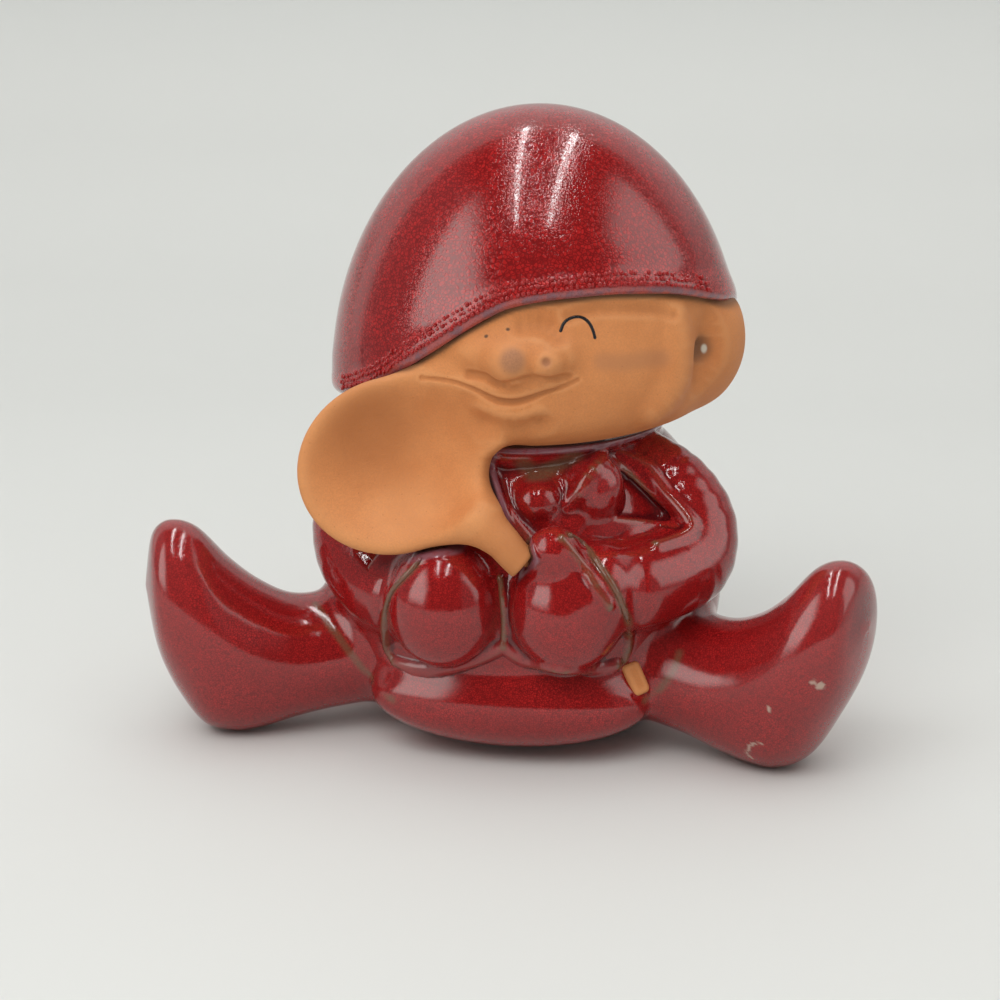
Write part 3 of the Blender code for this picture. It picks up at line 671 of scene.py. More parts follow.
mouthKnots = laidStrand(cheeked, faceShape["mouth"], faceShape["mouthRadii"])
foldKnots = laidStrand(cheeked, faceShape["upperFold"], 0.9, 0.5)
chinFoldKnots = laidStrand(cheeked, faceShape["chinFold"], 2.4, 1.7)
bridgeKnots = laidStrand(featured, faceShape["bridge"], (1.8, 2.4, 1.6), 1.2)
browKnots = laidStrand(featured, faceShape["brow"], 1.2, 0.9)
cupKnots = laidStrand(featured, faceShape["earCup"], (2.2, 4.0, 2.4), 1.4)
wingPit = laid(featured, [faceShape["wingPit"]], 0.5)[0]
earPit = laid(featured, [faceShape["earPit"]], -1.0)[0]

# what is cut into the face: knots, pieces of the curve and softness, then pits by place, radius and softness
sharedLines = [(mouthKnots, 22, 0.6), (foldKnots, 12, 1.0), (chinFoldKnots, 6, 3.0)]
faceLines = [(bridgeKnots, 6, 2.5), (browKnots, 8, 1.5), (cupKnots, 6, 3.0)]
facePits = [(wingPit, 1.1, 0.8), (earPit, 2.4, 1.6)]


def lined(form, points, deeper=0.0):
    # the lines that the cheek shares with the bowl are cut deeper in the spoon, which lies under it there
    for knots, count, soft in sharedLines:
        form = carve(form, strand(points, knots, count) - deeper, soft)
    for knots, count, soft in faceLines:
        form = carve(form, strand(points, knots, count), soft)
    for place, radius, soft in facePits:
        form = carve(form, size(points - place) - radius, soft)
    return form


def spoonForm(points):
    s = spoonShape
    form = keep(lined(cheeked(points, 0.15), points, 0.2), spoonMember(points) - s["cheekSoft"] - 3.0, 1.0)
    tail = [(*onTorso(bearing, level, s["tailStandOff"]), s["tailRadius"]) for bearing, level in s["tail"]]
    tail = [(*s["tailStart"], s["tailRadius"])] + tail + [(*(endMiddle - endOut * 2.0), 1.2)]
    form = merge(form, strand(points, tail, 10), 1.0)
    return merge(form, endForm(points), 0.8)


def faceForm(points):
    return keep(lined(cheeked(points), points), featured(points) - 3.0, 1.0)


def snapped(form, points, furthest):
    # moves points onto a form, each of them no further than a given length at a time
    for step in range(skinning["snapSteps"]):
        slope = slopeOf(form, points)
        steep = np.maximum(np.einsum("ij,ij->i", slope, slope), skinning["leastSlope"])
        move = slope * (form(points) / steep)[:, None]
        points = points - move * np.minimum(1, furthest / np.maximum(size(move), 1e-6))[:, None]
    return points


def skinOf(form, low, high, fineness):
    # skin of a distance field: sampled near the surface, meshed by OpenVDB, then snapped onto it
    voxel = skinning["voxel"] * fineness
    block = skinning["blockSize"]
    low = np.array(low, float)
    blocks = np.ceil((np.array(high, float) - low) / voxel / block).astype(int)
    corners = np.stack(np.meshgrid(*(np.arange(count) for count in blocks), indexing="ij"), -1).reshape(-1, 3)
    middles = low + (corners * block + (block - 1) / 2) * voxel
    gaps = form(middles)
    close = np.abs(gaps) < block * voxel * skinning["blockReach"] + skinning["spareReach"]
    volume = np.where(gaps < 0, -skinning["far"], skinning["far"]).reshape(blocks)
    for axis in range(3):
        volume = np.repeat(volume, block, axis)
    steps = np.stack(np.meshgrid(*(np.arange(block),) * 3, indexing="ij"), -1).reshape(-1, 3)
    cells = (corners[close][:, None, :] * block + steps[None]).reshape(-1, 3)
    volume[cells[:, 0], cells[:, 1], cells[:, 2]] = form(low + cells * voxel)
    grid = openvdb.FloatGrid(skinning["far"])
    grid.copyFromArray(volume.astype(np.float32))
    verts, quads = grid.convertToQuads(0.0)
    verts = np.array(verts, float) * voxel + low
    return snapped(form, verts, voxel * skinning["snapShare"]), np.array(quads)


def refined(mesh, form):
    # cuts the faces along the fine lines of the face into nine and puts their points on the form
    made = bmesh.new()
    made.from_mesh(mesh)
    made.verts.ensure_lookup_table()
    points = np.array([vert.co[:] for vert in made.verts]) * 1000
    close = np.min([strand(points, knots, 2 * len(knots)) for knots in fineLines], 0) < skinning["fineReach"]
    edges = {edge for face in made.faces if all(close[vert.index] for vert in face.verts)
             for edge in face.edges}
    edges = sorted(edges, key=lambda edge: edge.index)
    bmesh.ops.subdivide_edges(made, edges=edges, cuts=2, use_grid_fill=True)
    made.to_mesh(mesh)
    made.free()
    points = np.array([vert.co[:] for vert in mesh.vertices]) * 1000
    points = snapped(form, points, skinning["fineSnap"])
    mesh.vertices.foreach_set("co", (points * 0.001).astype(np.float32).ravel())
    mesh.update()
    return points


def pieceFrom(name, form, low, high, fineness):
    # a piece with its skin facing outwards, and the skin's points in millimetres
    verts, quads = skinOf(form, low, high, fineness)
    corners = verts[quads]
    facing = np.cross(corners[:, 2] - corners[:, 0], corners[:, 3] - corners[:, 1])
    if np.einsum("ij,ij->i", facing[:500], slopeOf(form, corners[:500].mean(1))).sum() < 0:
        quads = quads[:, ::-1]
    mesh = bpy.data.meshes.new(name)
    mesh.from_pydata((verts * 0.001).tolist(), [], quads.tolist())
    if fineness < 1:
        verts = refined(mesh, form)
    mesh.shade_smooth()
    piece = bpy.data.objects.new(name, mesh)
    bpy.context.scene.collection.objects.link(piece)
    report(f"{name} skinned, {len(verts)} points")
    return piece, verts


farAway, hoodBack = 99.0, 30.0


def mark(piece, name, values):
    # a mask on the skin that the materials read
    values = np.broadcast_to(np.asarray(values, float), (len(piece.data.vertices),))
    layer = piece.data.attributes.new(name, "FLOAT", "POINT")
    layer.data.foreach_set("value", np.ascontiguousarray(values, np.float32))


# masks on the glaze: thin on ridges and lines, darker in valleys where thick glaze gathers and as painted
# shade, a painted reflection of the pale table toward the toes and on the welt, chipped; a mask that follows a
# line has how strong and how wide it is
glazeMarks = {
    "thin": (0.30, 1.1), "poolAndShade": (0.10, 0.6), "line": (0.8, 1.1), "cuff": (0.9, 0.7), "knuckle": (0.75, 0.5),
    "reflectionOut": (55, 92), "reflectionUp": (10, 45), "reflectionShare": 0.4, "weltWidth": 0.9, "headLevel": 50.0,
    "legLines": {
        "right": [(-42.0, 38.7), (-38.7, 33.5), (-36.6, 30.9), (-33.6, 26.6), (-29.3, 21.4), (-24.2, 16.2)],
        "left": [(41.7, 31.3), (40.6, 27.3), (37.8, 22.7), (34.1, 19.4)],
    },
    "notch": [(6.2, 73.6), (9.3, 70.8), (12.5, 73.2), (17.6, 76.4)], "notchLine": (0.9, 2.6),
    "notchBack": -20.0,
    "chips": [((73.2, 25.2), 1.2), ((71.6, 25.9), 0.8), ((62.1, 19.0), 0.7), ((-43.0, 64.5), 0.4)],
    "scratch": [(60.5, 10.7), (58.5, 10.4), (57.5, 8.3), (58.6, 7.0)], "scratchWidth": 0.3,
}


def near(points, knots, width):
    # full on a line, gone at a width from it
    return 1 - ramp(strand(points, knots, max(len(knots) * 2, 3)), 0.0, width)


def spot(points, place, full, gone):
    return 1 - ramp(size(points - place), full, gone)


def strongest(first, *others):
    for other in others:
        first = np.maximum(first, other)
    return first


oliveLines = [laidStrand(wholeForm, places, 0.3) for places in glazeMarks["legLines"].values()]
notchKnots = laidStrand(foldsForm, glazeMarks["notch"], 0.5)
chipPlaces = [(laid(wholeForm, [place])[0], radius) for place, radius in glazeMarks["chips"]]
scratchKnots = laidStrand(wholeForm, glazeMarks["scratch"], 0.15)


def markGlaze(piece, form, points):
    g = glazeMarks
    bend = bendOf(form, points, skinning["curveReach"])
    lines = [(knots, g["line"]) for knots in oliveLines]
    lines += [(knots, g["cuff"]) for knots in cuffKnots.values()] + [(knuckleKnots, g["knuckle"])]
    notch = g["notchLine"][0] * near(points, notchKnots, g["notchLine"][1]) * (points[:, 1] < g["notchBack"])
    thin = strongest(ramp(bend, *g["thin"]), notch,
                     *(share * near(points, knots, width) for knots, (share, width) in lines))
    bare = strongest(near(points, scratchKnots, g["scratchWidth"]),
                     *(spot(points, place, radius * 0.7, radius) for place, radius in chipPlaces))
    outward, level = size(points * np.array((1, 1, 0))), points[:, 2]
    # painted reflection of the pale table, toward the boots' toes and along the welt under the mittens
    tableReflection = g["reflectionShare"] * ramp(outward, *g["reflectionOut"]) * ramp(level, *g["reflectionUp"])
    mark(piece, "thin", thin)
    # darker in valleys: thick glaze gathered there, and painted shade
    mark(piece, "poolAndShade", ramp(-bend, *g["poolAndShade"]))
    mark(piece, "bare", bare)
    mark(piece, "tableReflection", np.maximum(tableReflection, near(points, weltKnots, g["weltWidth"])))
    rim = np.minimum(featured(points), spoonMember(points)) if level.max() > g["headLevel"] else farAway
    mark(piece, "rim", rim)


def markHood(piece, form, points):
    # the hood's rim is measured from its opening, except at the back, and its glaze is nowhere thin
    markGlaze(piece, form, points)
    local = toHead(points)
    piece.data.attributes.remove(piece.data.attributes["rim"])
    mark(piece, "rim", np.where(local[:, 1] > hoodBack, farAway, openingForm(local)))
    piece.data.attributes["thin"].data.foreach_set("value", np.zeros(len(points), np.float32))


# masks on the clay: a darker disc on the nose tip, specks, painted shade in creases, pits and hollows and
# under the hood's edge, paler ridges and a painted patch of light in the bowl
clayMarks = {
    "noseTipDisc": (3.7, 96.7), "noseTipDiscSize": 4.0, "nostrilShade": (11.2, 96.6), "nostrilShadeSize": 2.0,
    "cheekCreaseShade": [(23.4, 97.2), (27.9, 97.1), (32.5, 97.9), (36.5, 98.2)],
    "bowlShade": (-28.5, 79.5), "bowlShadeSize": 17.0, "bowlGlow": (-20.5, 60.5), "bowlGlowSize": 14.0,
    "specks": [(-2.1, 102.0), (2.7, 103.7)], "pitGlaze": (45.4, 100.7), "handleShade": (7.0, 52.0),
    "mouth": (0.6, 0.35), "valley": (0.04, 0.5), "ridge": (0.05, 0.35), "hoodEdge": (0.3, 1.3),
}
noseTipDisc, nostrilShade = laid(featured, [clayMarks["noseTipDisc"], clayMarks["nostrilShade"]])
pitGlaze = laid(faceForm, [clayMarks["pitGlaze"]])[0]
cheekCreaseShade = laidStrand(featured, clayMarks["cheekCreaseShade"], 0.6)
speckPlaces = laid(featured, clayMarks["specks"])
mouthLine = mouthKnots - np.array((0, 0, 0, 0.25))
fineSpots = [(wingPit, 1.1), (earPit, 2.4)] + [(place, 0.2) for place in speckPlaces]
fineLines = [mouthKnots, foldKnots] + [np.array([(*place, reach), (*place + 0.1, reach)])
                                       for place, reach in fineSpots]
bowlShade, bowlGlow, handleShade = laid(cheeked, [clayMarks[name] for name in
                                                  ("bowlShade", "bowlGlow", "handleShade")])


def markClay(piece, form, points):
    c = clayMarks
    bend = bendOf(form, points, skinning["curveReach"])
    # a darker disc on the nose tip, and painted shade in the nostril and along a soft crease of the cheek
    mark(piece, "noseDiscAndShade", strongest(0.55 * spot(points, noseTipDisc, 1.6, c["noseTipDiscSize"]),
                                    0.5 * spot(points, nostrilShade, 0.4, c["nostrilShadeSize"]),
                                    0.25 * near(points, cheekCreaseShade, 2.6)))
    # painted shade in the ear pit, along the mouth's groove and under the hood's edge, with the dark specks
    # near the brow
    underHood = 1 - ramp(hoodForm(points), *c["hoodEdge"])
    mark(piece, "specksAndShade", strongest(spot(points, earPit, 1.6, 4.6), 0.8 * underHood,
                                   c["mouth"][0] * near(points, mouthLine, c["mouth"][1]),
                                   *(spot(points, place, 0.3, 0.6) for place in speckPlaces)))
    # painted shade in valleys, on the bowl's upper side (partly the clay's own darker tone), toward the
    # handle's end and round the ear
    mark(piece, "poolAndShade", strongest(0.6 * ramp(-bend, *c["valley"]),
                                  spot(points, bowlShade, c["bowlShadeSize"] * 0.2, c["bowlShadeSize"]),
                                  0.8 * spot(points, handleShade, 2.0, 15.0),
                                  0.45 * spot(points, earPit, 3.0, 15.0)))
    # paler on ridges, and a painted patch of light low in the bowl, where it faces up
    mark(piece, "pale", np.maximum(ramp(bend, *c["ridge"]),
                                   spot(points, bowlGlow, c["bowlGlowSize"] * 0.2, c["bowlGlowSize"])))
    mark(piece, "speck", 1 - ramp(size((points - pitGlaze) * np.array((1.2, 1, 0.8))), 0.5, 1.1))


# a node tree with short ways to add nodes and feed their sockets
class NodeBoard:
    def __init__(self, tree):
        self.tree = tree
        self.nodes = tree.nodes

    def feed(self, socket, value):
        if isinstance(value, bpy.types.NodeSocket):
            self.tree.links.new(value, socket)
        else:
            socket.default_value = (*value, 1) if socket.type == "RGBA" else value

    def add(self, kind, inputs=None, **settings):
        node = self.nodes.new(kind)
        for name, value in settings.items():
            setattr(node, name, value)
        for name, value in (inputs or {}).items():
            self.feed(node.inputs[name], value)
        return node

    def maths(self, operation, first, second=None, clamp=False):
        inputs = {0: first} if second is None else {0: first, 1: second}
        return self.add("ShaderNodeMath", inputs, operation=operation, use_clamp=clamp).outputs[0]

    def times(self, first, second, clamp=False):
        return self.maths("MULTIPLY", first, second, clamp)

    def mix(self, share, first, second):
        # the mix node's factor, its two colours and its colour output
        return self.add("ShaderNodeMix", {0: share, 6: first, 7: second}, data_type="RGBA").outputs[2]

    def spread(self, value, low, high, toLow=0.0, toHigh=1.0, smooth=True):
        inputs = {"Value": value, "From Min": low, "From Max": high, "To Min": toLow, "To Max": toHigh}
        kind = "SMOOTHSTEP" if smooth else "LINEAR"
        return self.add("ShaderNodeMapRange", inputs, interpolation_type=kind).outputs["Result"]

    def noise(self, place, scale, detail=2.0, roughness=0.6):
        inputs = {"Vector": place, "Scale": scale, "Detail": detail, "Roughness": roughness}
        return self.add("ShaderNodeTexNoise", inputs).outputs["Fac"]

    def mask(self, name):
        return self.add("ShaderNodeAttribute", attribute_name=name).outputs["Fac"]

    def bump(self, height, strength, distance, under=None):
        inputs = {"Height": height, "Strength": strength, "Distance": distance}
        if under:
            inputs["Normal"] = under
        return self.add("ShaderNodeBump", inputs).outputs["Normal"]


def newTree(name, kind, inputs, outputs):
    # a group with named inputs, each with its kind and value, and named outputs
    tree = bpy.data.node_groups.new(name, kind)
    for socket, (socketKind, value) in inputs.items():
        item = tree.interface.new_socket(socket, in_out="INPUT", socket_type="NodeSocket" + socketKind)
        if value is not None:
            item.default_value = value
    for socket, socketKind in outputs.items():
        tree.interface.new_socket(socket, in_out="OUTPUT", socket_type="NodeSocket" + socketKind)
    return NodeBoard(tree), tree.nodes.new("NodeGroupInput").outputs, tree.nodes.new("NodeGroupOutput").inputs


# shader groups that several materials share; each pair says where a mask begins and where it is full
crackleSizes = {"wobblesPerMetre": 420.0, "push": 0.0009, "line": (0.0, 0.17), "speckle": (0.34, 0.66),
                "brokenLeast": 0.45, "cloudsPerMetre": 85.0, "cloud": (0.36, 0.62)}
grainSizes = {"grain": (0.3, 0.7), "blotchesPerMetre": 70.0, "blotch": (0.33, 0.67), "pitsPerMetre": 520.0,
              "pit": (0.10, 0.05)}


def crackleGroup():
    # crackled glaze: bright cells in a darker network, broken up by a fine speckle
    board, start, end = newTree("crackleGlaze", "ShaderNodeTree", {
        "Vector": ("Vector", None), "Cells per metre": ("Float", 800.0),
        "Speckle per metre": ("Float", 2600.0), "Unevenness": ("Float", 0.35)},
        {"Cell": "Float", "Shade": "Float", "Cloud": "Float"})
    k = crackleSizes
    wobble = board.add("ShaderNodeTexNoise", {"Vector": start["Vector"], "Scale": k["wobblesPerMetre"],
                                              "Detail": 1.0}).outputs["Color"]
    push = board.add("ShaderNodeVectorMath", {0: wobble, 1: (k["push"],) * 3, 2: start["Vector"]},
                     operation="MULTIPLY_ADD")
    inputs = {"Vector": push.outputs[0], "Scale": start["Cells per metre"]}
    cells = board.add("ShaderNodeTexVoronoi", inputs, feature="F1")
    edges = board.add("ShaderNodeTexVoronoi", inputs, feature="DISTANCE_TO_EDGE")
    inside = board.spread(edges.outputs["Distance"], *k["line"])
    tone = board.add("ShaderNodeSeparateColor", {"Color": cells.outputs["Color"]})
    grain = board.spread(board.noise(start["Vector"], start["Speckle per metre"]), *k["speckle"])
    broken = board.times(inside, board.spread(grain, 0.0, 1.0, k["brokenLeast"], 1.0, smooth=False))
    uneven = board.times(tone.outputs["Red"], start["Unevenness"])
    cloud = board.noise(start["Vector"], k["cloudsPerMetre"], 4.0, 0.62)
    board.feed(end["Cell"], board.maths("SUBTRACT", broken, uneven, clamp=True))
    board.feed(end["Shade"], grain)
    board.feed(end["Cloud"], board.spread(cloud, *k["cloud"]))
    return board.tree


def grainGroup():
    # bare fired clay: fine sandy grain, soft blotches and pinholes
    board, start, end = newTree("clayGrain", "ShaderNodeTree", {
        "Vector": ("Vector", None), "Grain per metre": ("Float", 2400.0)},
        {"Grain": "Float", "Blotch": "Float", "Pits": "Float"})
    k = grainSizes
    grain = board.noise(start["Vector"], start["Grain per metre"], 3.0, 0.65)
    blotch = board.noise(start["Vector"], k["blotchesPerMetre"], 4.0)
    pits = board.add("ShaderNodeTexVoronoi", {"Vector": start["Vector"], "Scale": k["pitsPerMetre"]})
    board.feed(end["Grain"], board.spread(grain, *k["grain"]))
    board.feed(end["Blotch"], board.spread(blotch, *k["blotch"]))
    board.feed(end["Pits"], board.spread(pits.outputs["Distance"], *k["pit"]))
    return board.tree


crackleGlaze, clayGrain = crackleGroup(), grainGroup()


def startMaterial(name, roughness, ior):
    material = bpy.data.materials.new(name)
    material.use_nodes = True
    board = NodeBoard(material.node_tree)
    shader = board.nodes["Principled BSDF"]
    shader.inputs["Roughness"].default_value = roughness
    shader.inputs["IOR"].default_value = ior
    return material, board, shader, board.add("ShaderNodeTexCoord").outputs["Object"]


# red glaze: its colours, how much each tone covers, and its bands, in millimetres from the clay
glazeColours = {
    "network": (0.17, 0.006, 0.007), "cell": (0.60, 0.020, 0.019), "deep": (0.20, 0.008, 0.008),
    "thin": (0.150, 0.080, 0.042), "poolAndShade": (0.050, 0.004, 0.006), "tableReflection": (0.32, 0.055, 0.055),
    "rim": (0.22, 0.080, 0.100), "rimPink": (0.40, 0.080, 0.075), "rimDark": (0.030, 0.012, 0.014),
    "rimCell": (0.52, 0.030, 0.028), "bare": (0.48, 0.34, 0.27),
}
glazeFinish = {"shade": 0.35, "poolAndShade": 0.75, "wornLeast": 0.65, "gloss": (0.035, 0.065), "bareRoughness": 0.6,
               "cellHeight": 0.00006}
suitBands = {"streaksPerMetre": 700.0, "pink": (2.3, 1.6), "patches": (0.2, 0.6, 0.45, 1.0),
             "line": (0.85, 0.35), "ridgeStart": (0.2, 1.1), "ridgeEnd": (2.8, 1.6), "ridgeStrength": 0.8,
             "ridgeHeight": 0.0006}
hoodBands = {"streaksPerMetre": 300.0, "cellsStart": (1.6, 2.6), "cellsEnd": (6.4, 5.0), "pink": (2.5, 1.5),
             "patches": (0.40, 0.60), "deepPatches": (0.5, 1.0, 0.0, 0.35), "line": (0.45, 0.1)}


def suitEdge(board, colour, rim, place):
    # glaze beside the bare clay: a patchy pinkish band, then a dark line
    b = suitBands
    streak = board.noise(place, b["streaksPerMetre"])
    band = board.times(board.spread(rim, *b["pink"]), board.spread(streak, *b["patches"]))
    colour = board.mix(band, colour, glazeColours["rim"])
    return board.mix(board.spread(rim, *b["line"]), colour, glazeColours["rimDark"])


def hoodHem(board, colour, rim, place, cell, shade):
    # hem of the hood: a row of bright cells, a streaky pink edge, then a dark line
    b, c = hoodBands, glazeColours
    streak = board.noise(place, b["streaksPerMetre"])
    band = board.times(board.spread(rim, *b["cellsStart"]), board.spread(rim, *b["cellsEnd"]))
    colour = board.mix(board.times(band, cell), colour, c["rimCell"])
    edge = board.mix(board.spread(streak, *b["patches"]), c["rim"], c["rimPink"])
    edge = board.mix(board.spread(shade, *b["deepPatches"]), edge, c["deep"])
    colour = board.mix(board.spread(rim, *b["pink"]), colour, edge)
    return board.mix(board.spread(rim, *b["line"]), colour, c["rimDark"])


def redGlaze(name, cellsPerMetre, unevenness, brightness, reflectionStrength, relief, hemmed=False):
    material, board, shader, place = startMaterial(name, 0.07, 1.6)
    c, finish = glazeColours, glazeFinish
    crackle = board.add("ShaderNodeGroup", {"Vector": place, "Cells per metre": cellsPerMetre,
                                            "Unevenness": unevenness}, node_tree=crackleGlaze)
    cell, shade, cloud = (crackle.outputs[mask] for mask in ("Cell", "Shade", "Cloud"))
    colour = board.mix(cell, c["network"], c["cell"])
    colour = board.mix(board.times(shade, finish["shade"]), colour, c["deep"])
    colour = board.mix(board.times(cloud, 1.0 - brightness), colour, c["deep"])
    # painted reflection of the pale table, a lighter red where its mask says
    colour = board.mix(board.times(board.mask("tableReflection"), reflectionStrength), colour, c["tableReflection"])
    # darker in valleys: thick glaze gathered there, and painted shade
    colour = board.mix(board.times(board.mask("poolAndShade"), finish["poolAndShade"]), colour, c["poolAndShade"])
    worn = board.spread(shade, 0.0, 1.0, finish["wornLeast"], 1.0)
    colour = board.mix(board.times(board.mask("thin"), worn, clamp=True), colour, c["thin"])
    rim, bare = board.mask("rim"), board.mask("bare")
    normal = board.bump(cell, relief, finish["cellHeight"])
    if hemmed:
        colour = hoodHem(board, colour, rim, place, cell, shade)
    else:
        b = suitBands
        colour = suitEdge(board, colour, rim, place)
        ridge = board.times(board.spread(rim, *b["ridgeStart"]), board.spread(rim, *b["ridgeEnd"]))
        normal = board.bump(ridge, b["ridgeStrength"], b["ridgeHeight"], normal)
    rough = board.spread(shade, 0.0, 1.0, *finish["gloss"])
    board.feed(shader.inputs["Base Color"], board.mix(bare, colour, c["bare"]))
    board.feed(shader.inputs["Roughness"],
               board.maths("MAXIMUM", rough, board.times(bare, finish["bareRoughness"])))
    board.feed(shader.inputs["Normal"], normal)
    return material


# bare terracotta: its colours, and how much each tone covers
clayColours = {
    "base": (0.62, 0.226, 0.070), "light": (0.74, 0.300, 0.102), "dark": (0.43, 0.148, 0.042),
    "specksAndShade": (0.085, 0.045, 0.026), "noseDiscAndShade": (0.20, 0.105, 0.075), "pale": (0.75, 0.345, 0.135),
    "speck": (0.62, 0.56, 0.46),
}
clayFinish = {"grain": 0.30, "pale": 0.35, "poolAndShade": 0.72, "pits": 0.5, "noseDiscAndShade": (0.8, 1.1), "specksAndShade": 0.9,
              "roughness": (0.62, 0.82), "pitDepth": 1.5, "relief": 0.35, "grainHeight": 0.00010}


def bareTerracotta(name, lightness):
    material, board, shader, place = startMaterial(name, 0.72, 1.5)
    c, finish = clayColours, clayFinish
    clay = board.add("ShaderNodeGroup", {"Vector": place}, node_tree=clayGrain)
    grain, blotch, pits = (clay.outputs[mask] for mask in ("Grain", "Blotch", "Pits"))
    colour = board.mix(board.times(blotch, lightness), c["base"], c["light"])
    colour = board.mix(board.spread(grain, 0.0, 1.0, finish["grain"], 0.0), colour, c["dark"])
    # paler on ridges, with a painted patch of light in the bowl
    colour = board.mix(board.times(board.mask("pale"), finish["pale"]), colour, c["pale"])
    # painted shade in valleys, in the bowl, toward the handle's end and round the ear, toward the dark clay
    # colour
    colour = board.mix(board.times(board.mask("poolAndShade"), finish["poolAndShade"]), colour, c["dark"])
    colour = board.mix(board.times(pits, finish["pits"]), colour, c["dark"])
    # darker disc on the nose tip, and painted shade in the nostril and along the cheek's crease
    noseDiscAndShade = board.times(board.mask("noseDiscAndShade"), board.spread(grain, 0.0, 1.0, *finish["noseDiscAndShade"]))
    colour = board.mix(noseDiscAndShade, colour, c["noseDiscAndShade"])
    # dark specks, and painted shade in the ear pit, along the mouth's groove and under the hood's edge
    colour = board.mix(board.times(board.mask("specksAndShade"), finish["specksAndShade"]), colour, c["specksAndShade"])
    board.feed(shader.inputs["Base Color"], board.mix(board.mask("speck"), colour, c["speck"]))
    board.feed(shader.inputs["Roughness"], board.spread(grain, 0.0, 1.0, *finish["roughness"]))
    height = board.maths("SUBTRACT", grain, board.times(pits, finish["pitDepth"]))
    board.feed(shader.inputs["Normal"], board.bump(height, finish["relief"], finish["grainHeight"]))
    return material


hoodGlaze = redGlaze("hoodGlaze", 1150.0, 0.45, 0.70, 0.0, 0.30, hemmed=True)
suitGlaze = redGlaze("suitGlaze", 1900.0, 0.35, 0.62, 0.6, 0.10)
bootGlaze = redGlaze("bootGlaze", 1900.0, 0.35, 0.62, 0.6, 0.10)
faceClay = bareTerracotta("faceClay", 0.55)
spoonClay = bareTerracotta("spoonClay", 0.7)


# each CAD node's form, material, slot, how far past its box its skin may reach, and its share of the voxel
makers = {
    "torso": (bodyForm, suitGlaze, "torso_glaze", 3.0, 1.0),
    "head": (faceForm, faceClay, "face_clay", 9.0, skinning["faceShare"]),
    "hood": (hoodForm, hoodGlaze, "hood_glaze", 3.0, 1.0),
    "spoon": (spoonForm, spoonClay, "spoon_clay", 9.0, skinning["spoonShare"]),
    "collar": (collarForm, suitGlaze, "collar_glaze", 9.0, 1.0),
    "arm_left": (lambda points: sleeveForm(points, "left"), suitGlaze, "sleeve_glaze", 9.0, 1.0),
    "arm_right": (lambda points: sleeveForm(points, "right"), suitGlaze, "sleeve_glaze", 9.0, 1.0),
    "hand_left": (lambda points: mittenForm(points, "left"), suitGlaze, "mitten_glaze", 9.0, 1.0),
    "hand_right": (lambda points: mittenForm(points, "right"), suitGlaze, "mitten_glaze", 9.0, 1.0),
    "leg_left": (lambda points: bootForm(points, "left"), bootGlaze, "boot_glaze", 9.0, 1.0),
    "leg_right": (lambda points: bootForm(points, "right"), bootGlaze, "boot_glaze", 9.0, 1.0),
}
marks = {"head": markClay, "spoon": markClay, "hood": markHood}
for node, (form, material, slot, spare, fineness) in makers.items():
    low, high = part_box(node)
    low = [value * 1000 - spare for value in low]
    high = [value * 1000 + spare for value in high]
    piece, points = pieceFrom(node + "_ceramic", form, low, high, fineness)
    marks.get(node, markGlaze)(piece, form, points)
    piece.data.materials.append(material)
    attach(piece, "root")
    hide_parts(node)


# pieces that repeat or follow a path are made by geometry nodes
def pathTree(name, inputs):
    # a tree that starts with evenly spaced points along the object's own path
    board, start, end = newTree(name, "GeometryNodeTree", {"Geometry": ("Geometry", None), **inputs},
                                {"Geometry": "Geometry"})
    curve = board.add("GeometryNodeMeshToCurve", {"Mesh": start["Geometry"]})
    spacing = {"Curve": curve.outputs["Curve"], "Length": start["Spacing"]}
    even = board.add("GeometryNodeResampleCurve", spacing, mode="LENGTH")
    points = board.add("GeometryNodeCurveToPoints", {"Curve": even.outputs["Curve"]}, mode="EVALUATED")
    return board, start, end, points.outputs["Points"]


def ball(board, radius, segments, rings):
    return board.add("GeometryNodeMeshUVSphere", {"Radius": radius, "Segments": segments, "Rings": rings})


def strewn(board, end, material, inputs):
    # an instance at each point, made real and given its material
    place = board.add("GeometryNodeInstanceOnPoints", inputs)
    real = board.add("GeometryNodeRealizeInstances", {"Geometry": place.outputs["Instances"]})
    paint = board.add("GeometryNodeSetMaterial", {"Geometry": real.outputs["Geometry"], "Material": material})
    board.feed(end["Geometry"], paint.outputs["Geometry"])
    return board.tree


def drawn(board, seed, low, high):
    # a random vector for each point, the same in each run
    node = board.add("FunctionNodeRandomValue", {0: (low,) * 3, 1: (high,) * 3, "Seed": seed},
                     data_type="FLOAT_VECTOR")
    return node.outputs[0]


def beadTree(material):
    # a row of small uneven beads of glaze along a path
    board, start, end, points = pathTree("rimBeads", {
        "Spacing": ("Float", 0.0012), "Bead radius": ("Float", 0.0006), "Wander": ("Float", 0.0003),
        "Seed": ("Int", 3)})
    stray = {0: drawn(board, start["Seed"], -1.0, 1.0), "Scale": start["Wander"]}
    stray = board.add("ShaderNodeVectorMath", stray, operation="SCALE")
    move = board.add("GeometryNodeSetPosition", {"Geometry": points, "Offset": stray.outputs[0]})
    bead = ball(board, start["Bead radius"], 8, 5)
    swell = drawn(board, start["Seed"], 0.7, 1.25)
    return strewn(board, end, material, {"Points": move.outputs["Geometry"], "Instance": bead.outputs["Mesh"],
                                         "Scale": swell})


def strokeTree(material):
    # a painted stroke with rounded ends along a path
    board, start, end, points = pathTree("paintStroke", {
        "Width": ("Float", 0.0008), "Spacing": ("Float", 0.0002)})
    blob = ball(board, board.times(start["Width"], 0.5), 10, 6)
    return strewn(board, end, material, {"Points": points, "Instance": blob.outputs["Mesh"]})


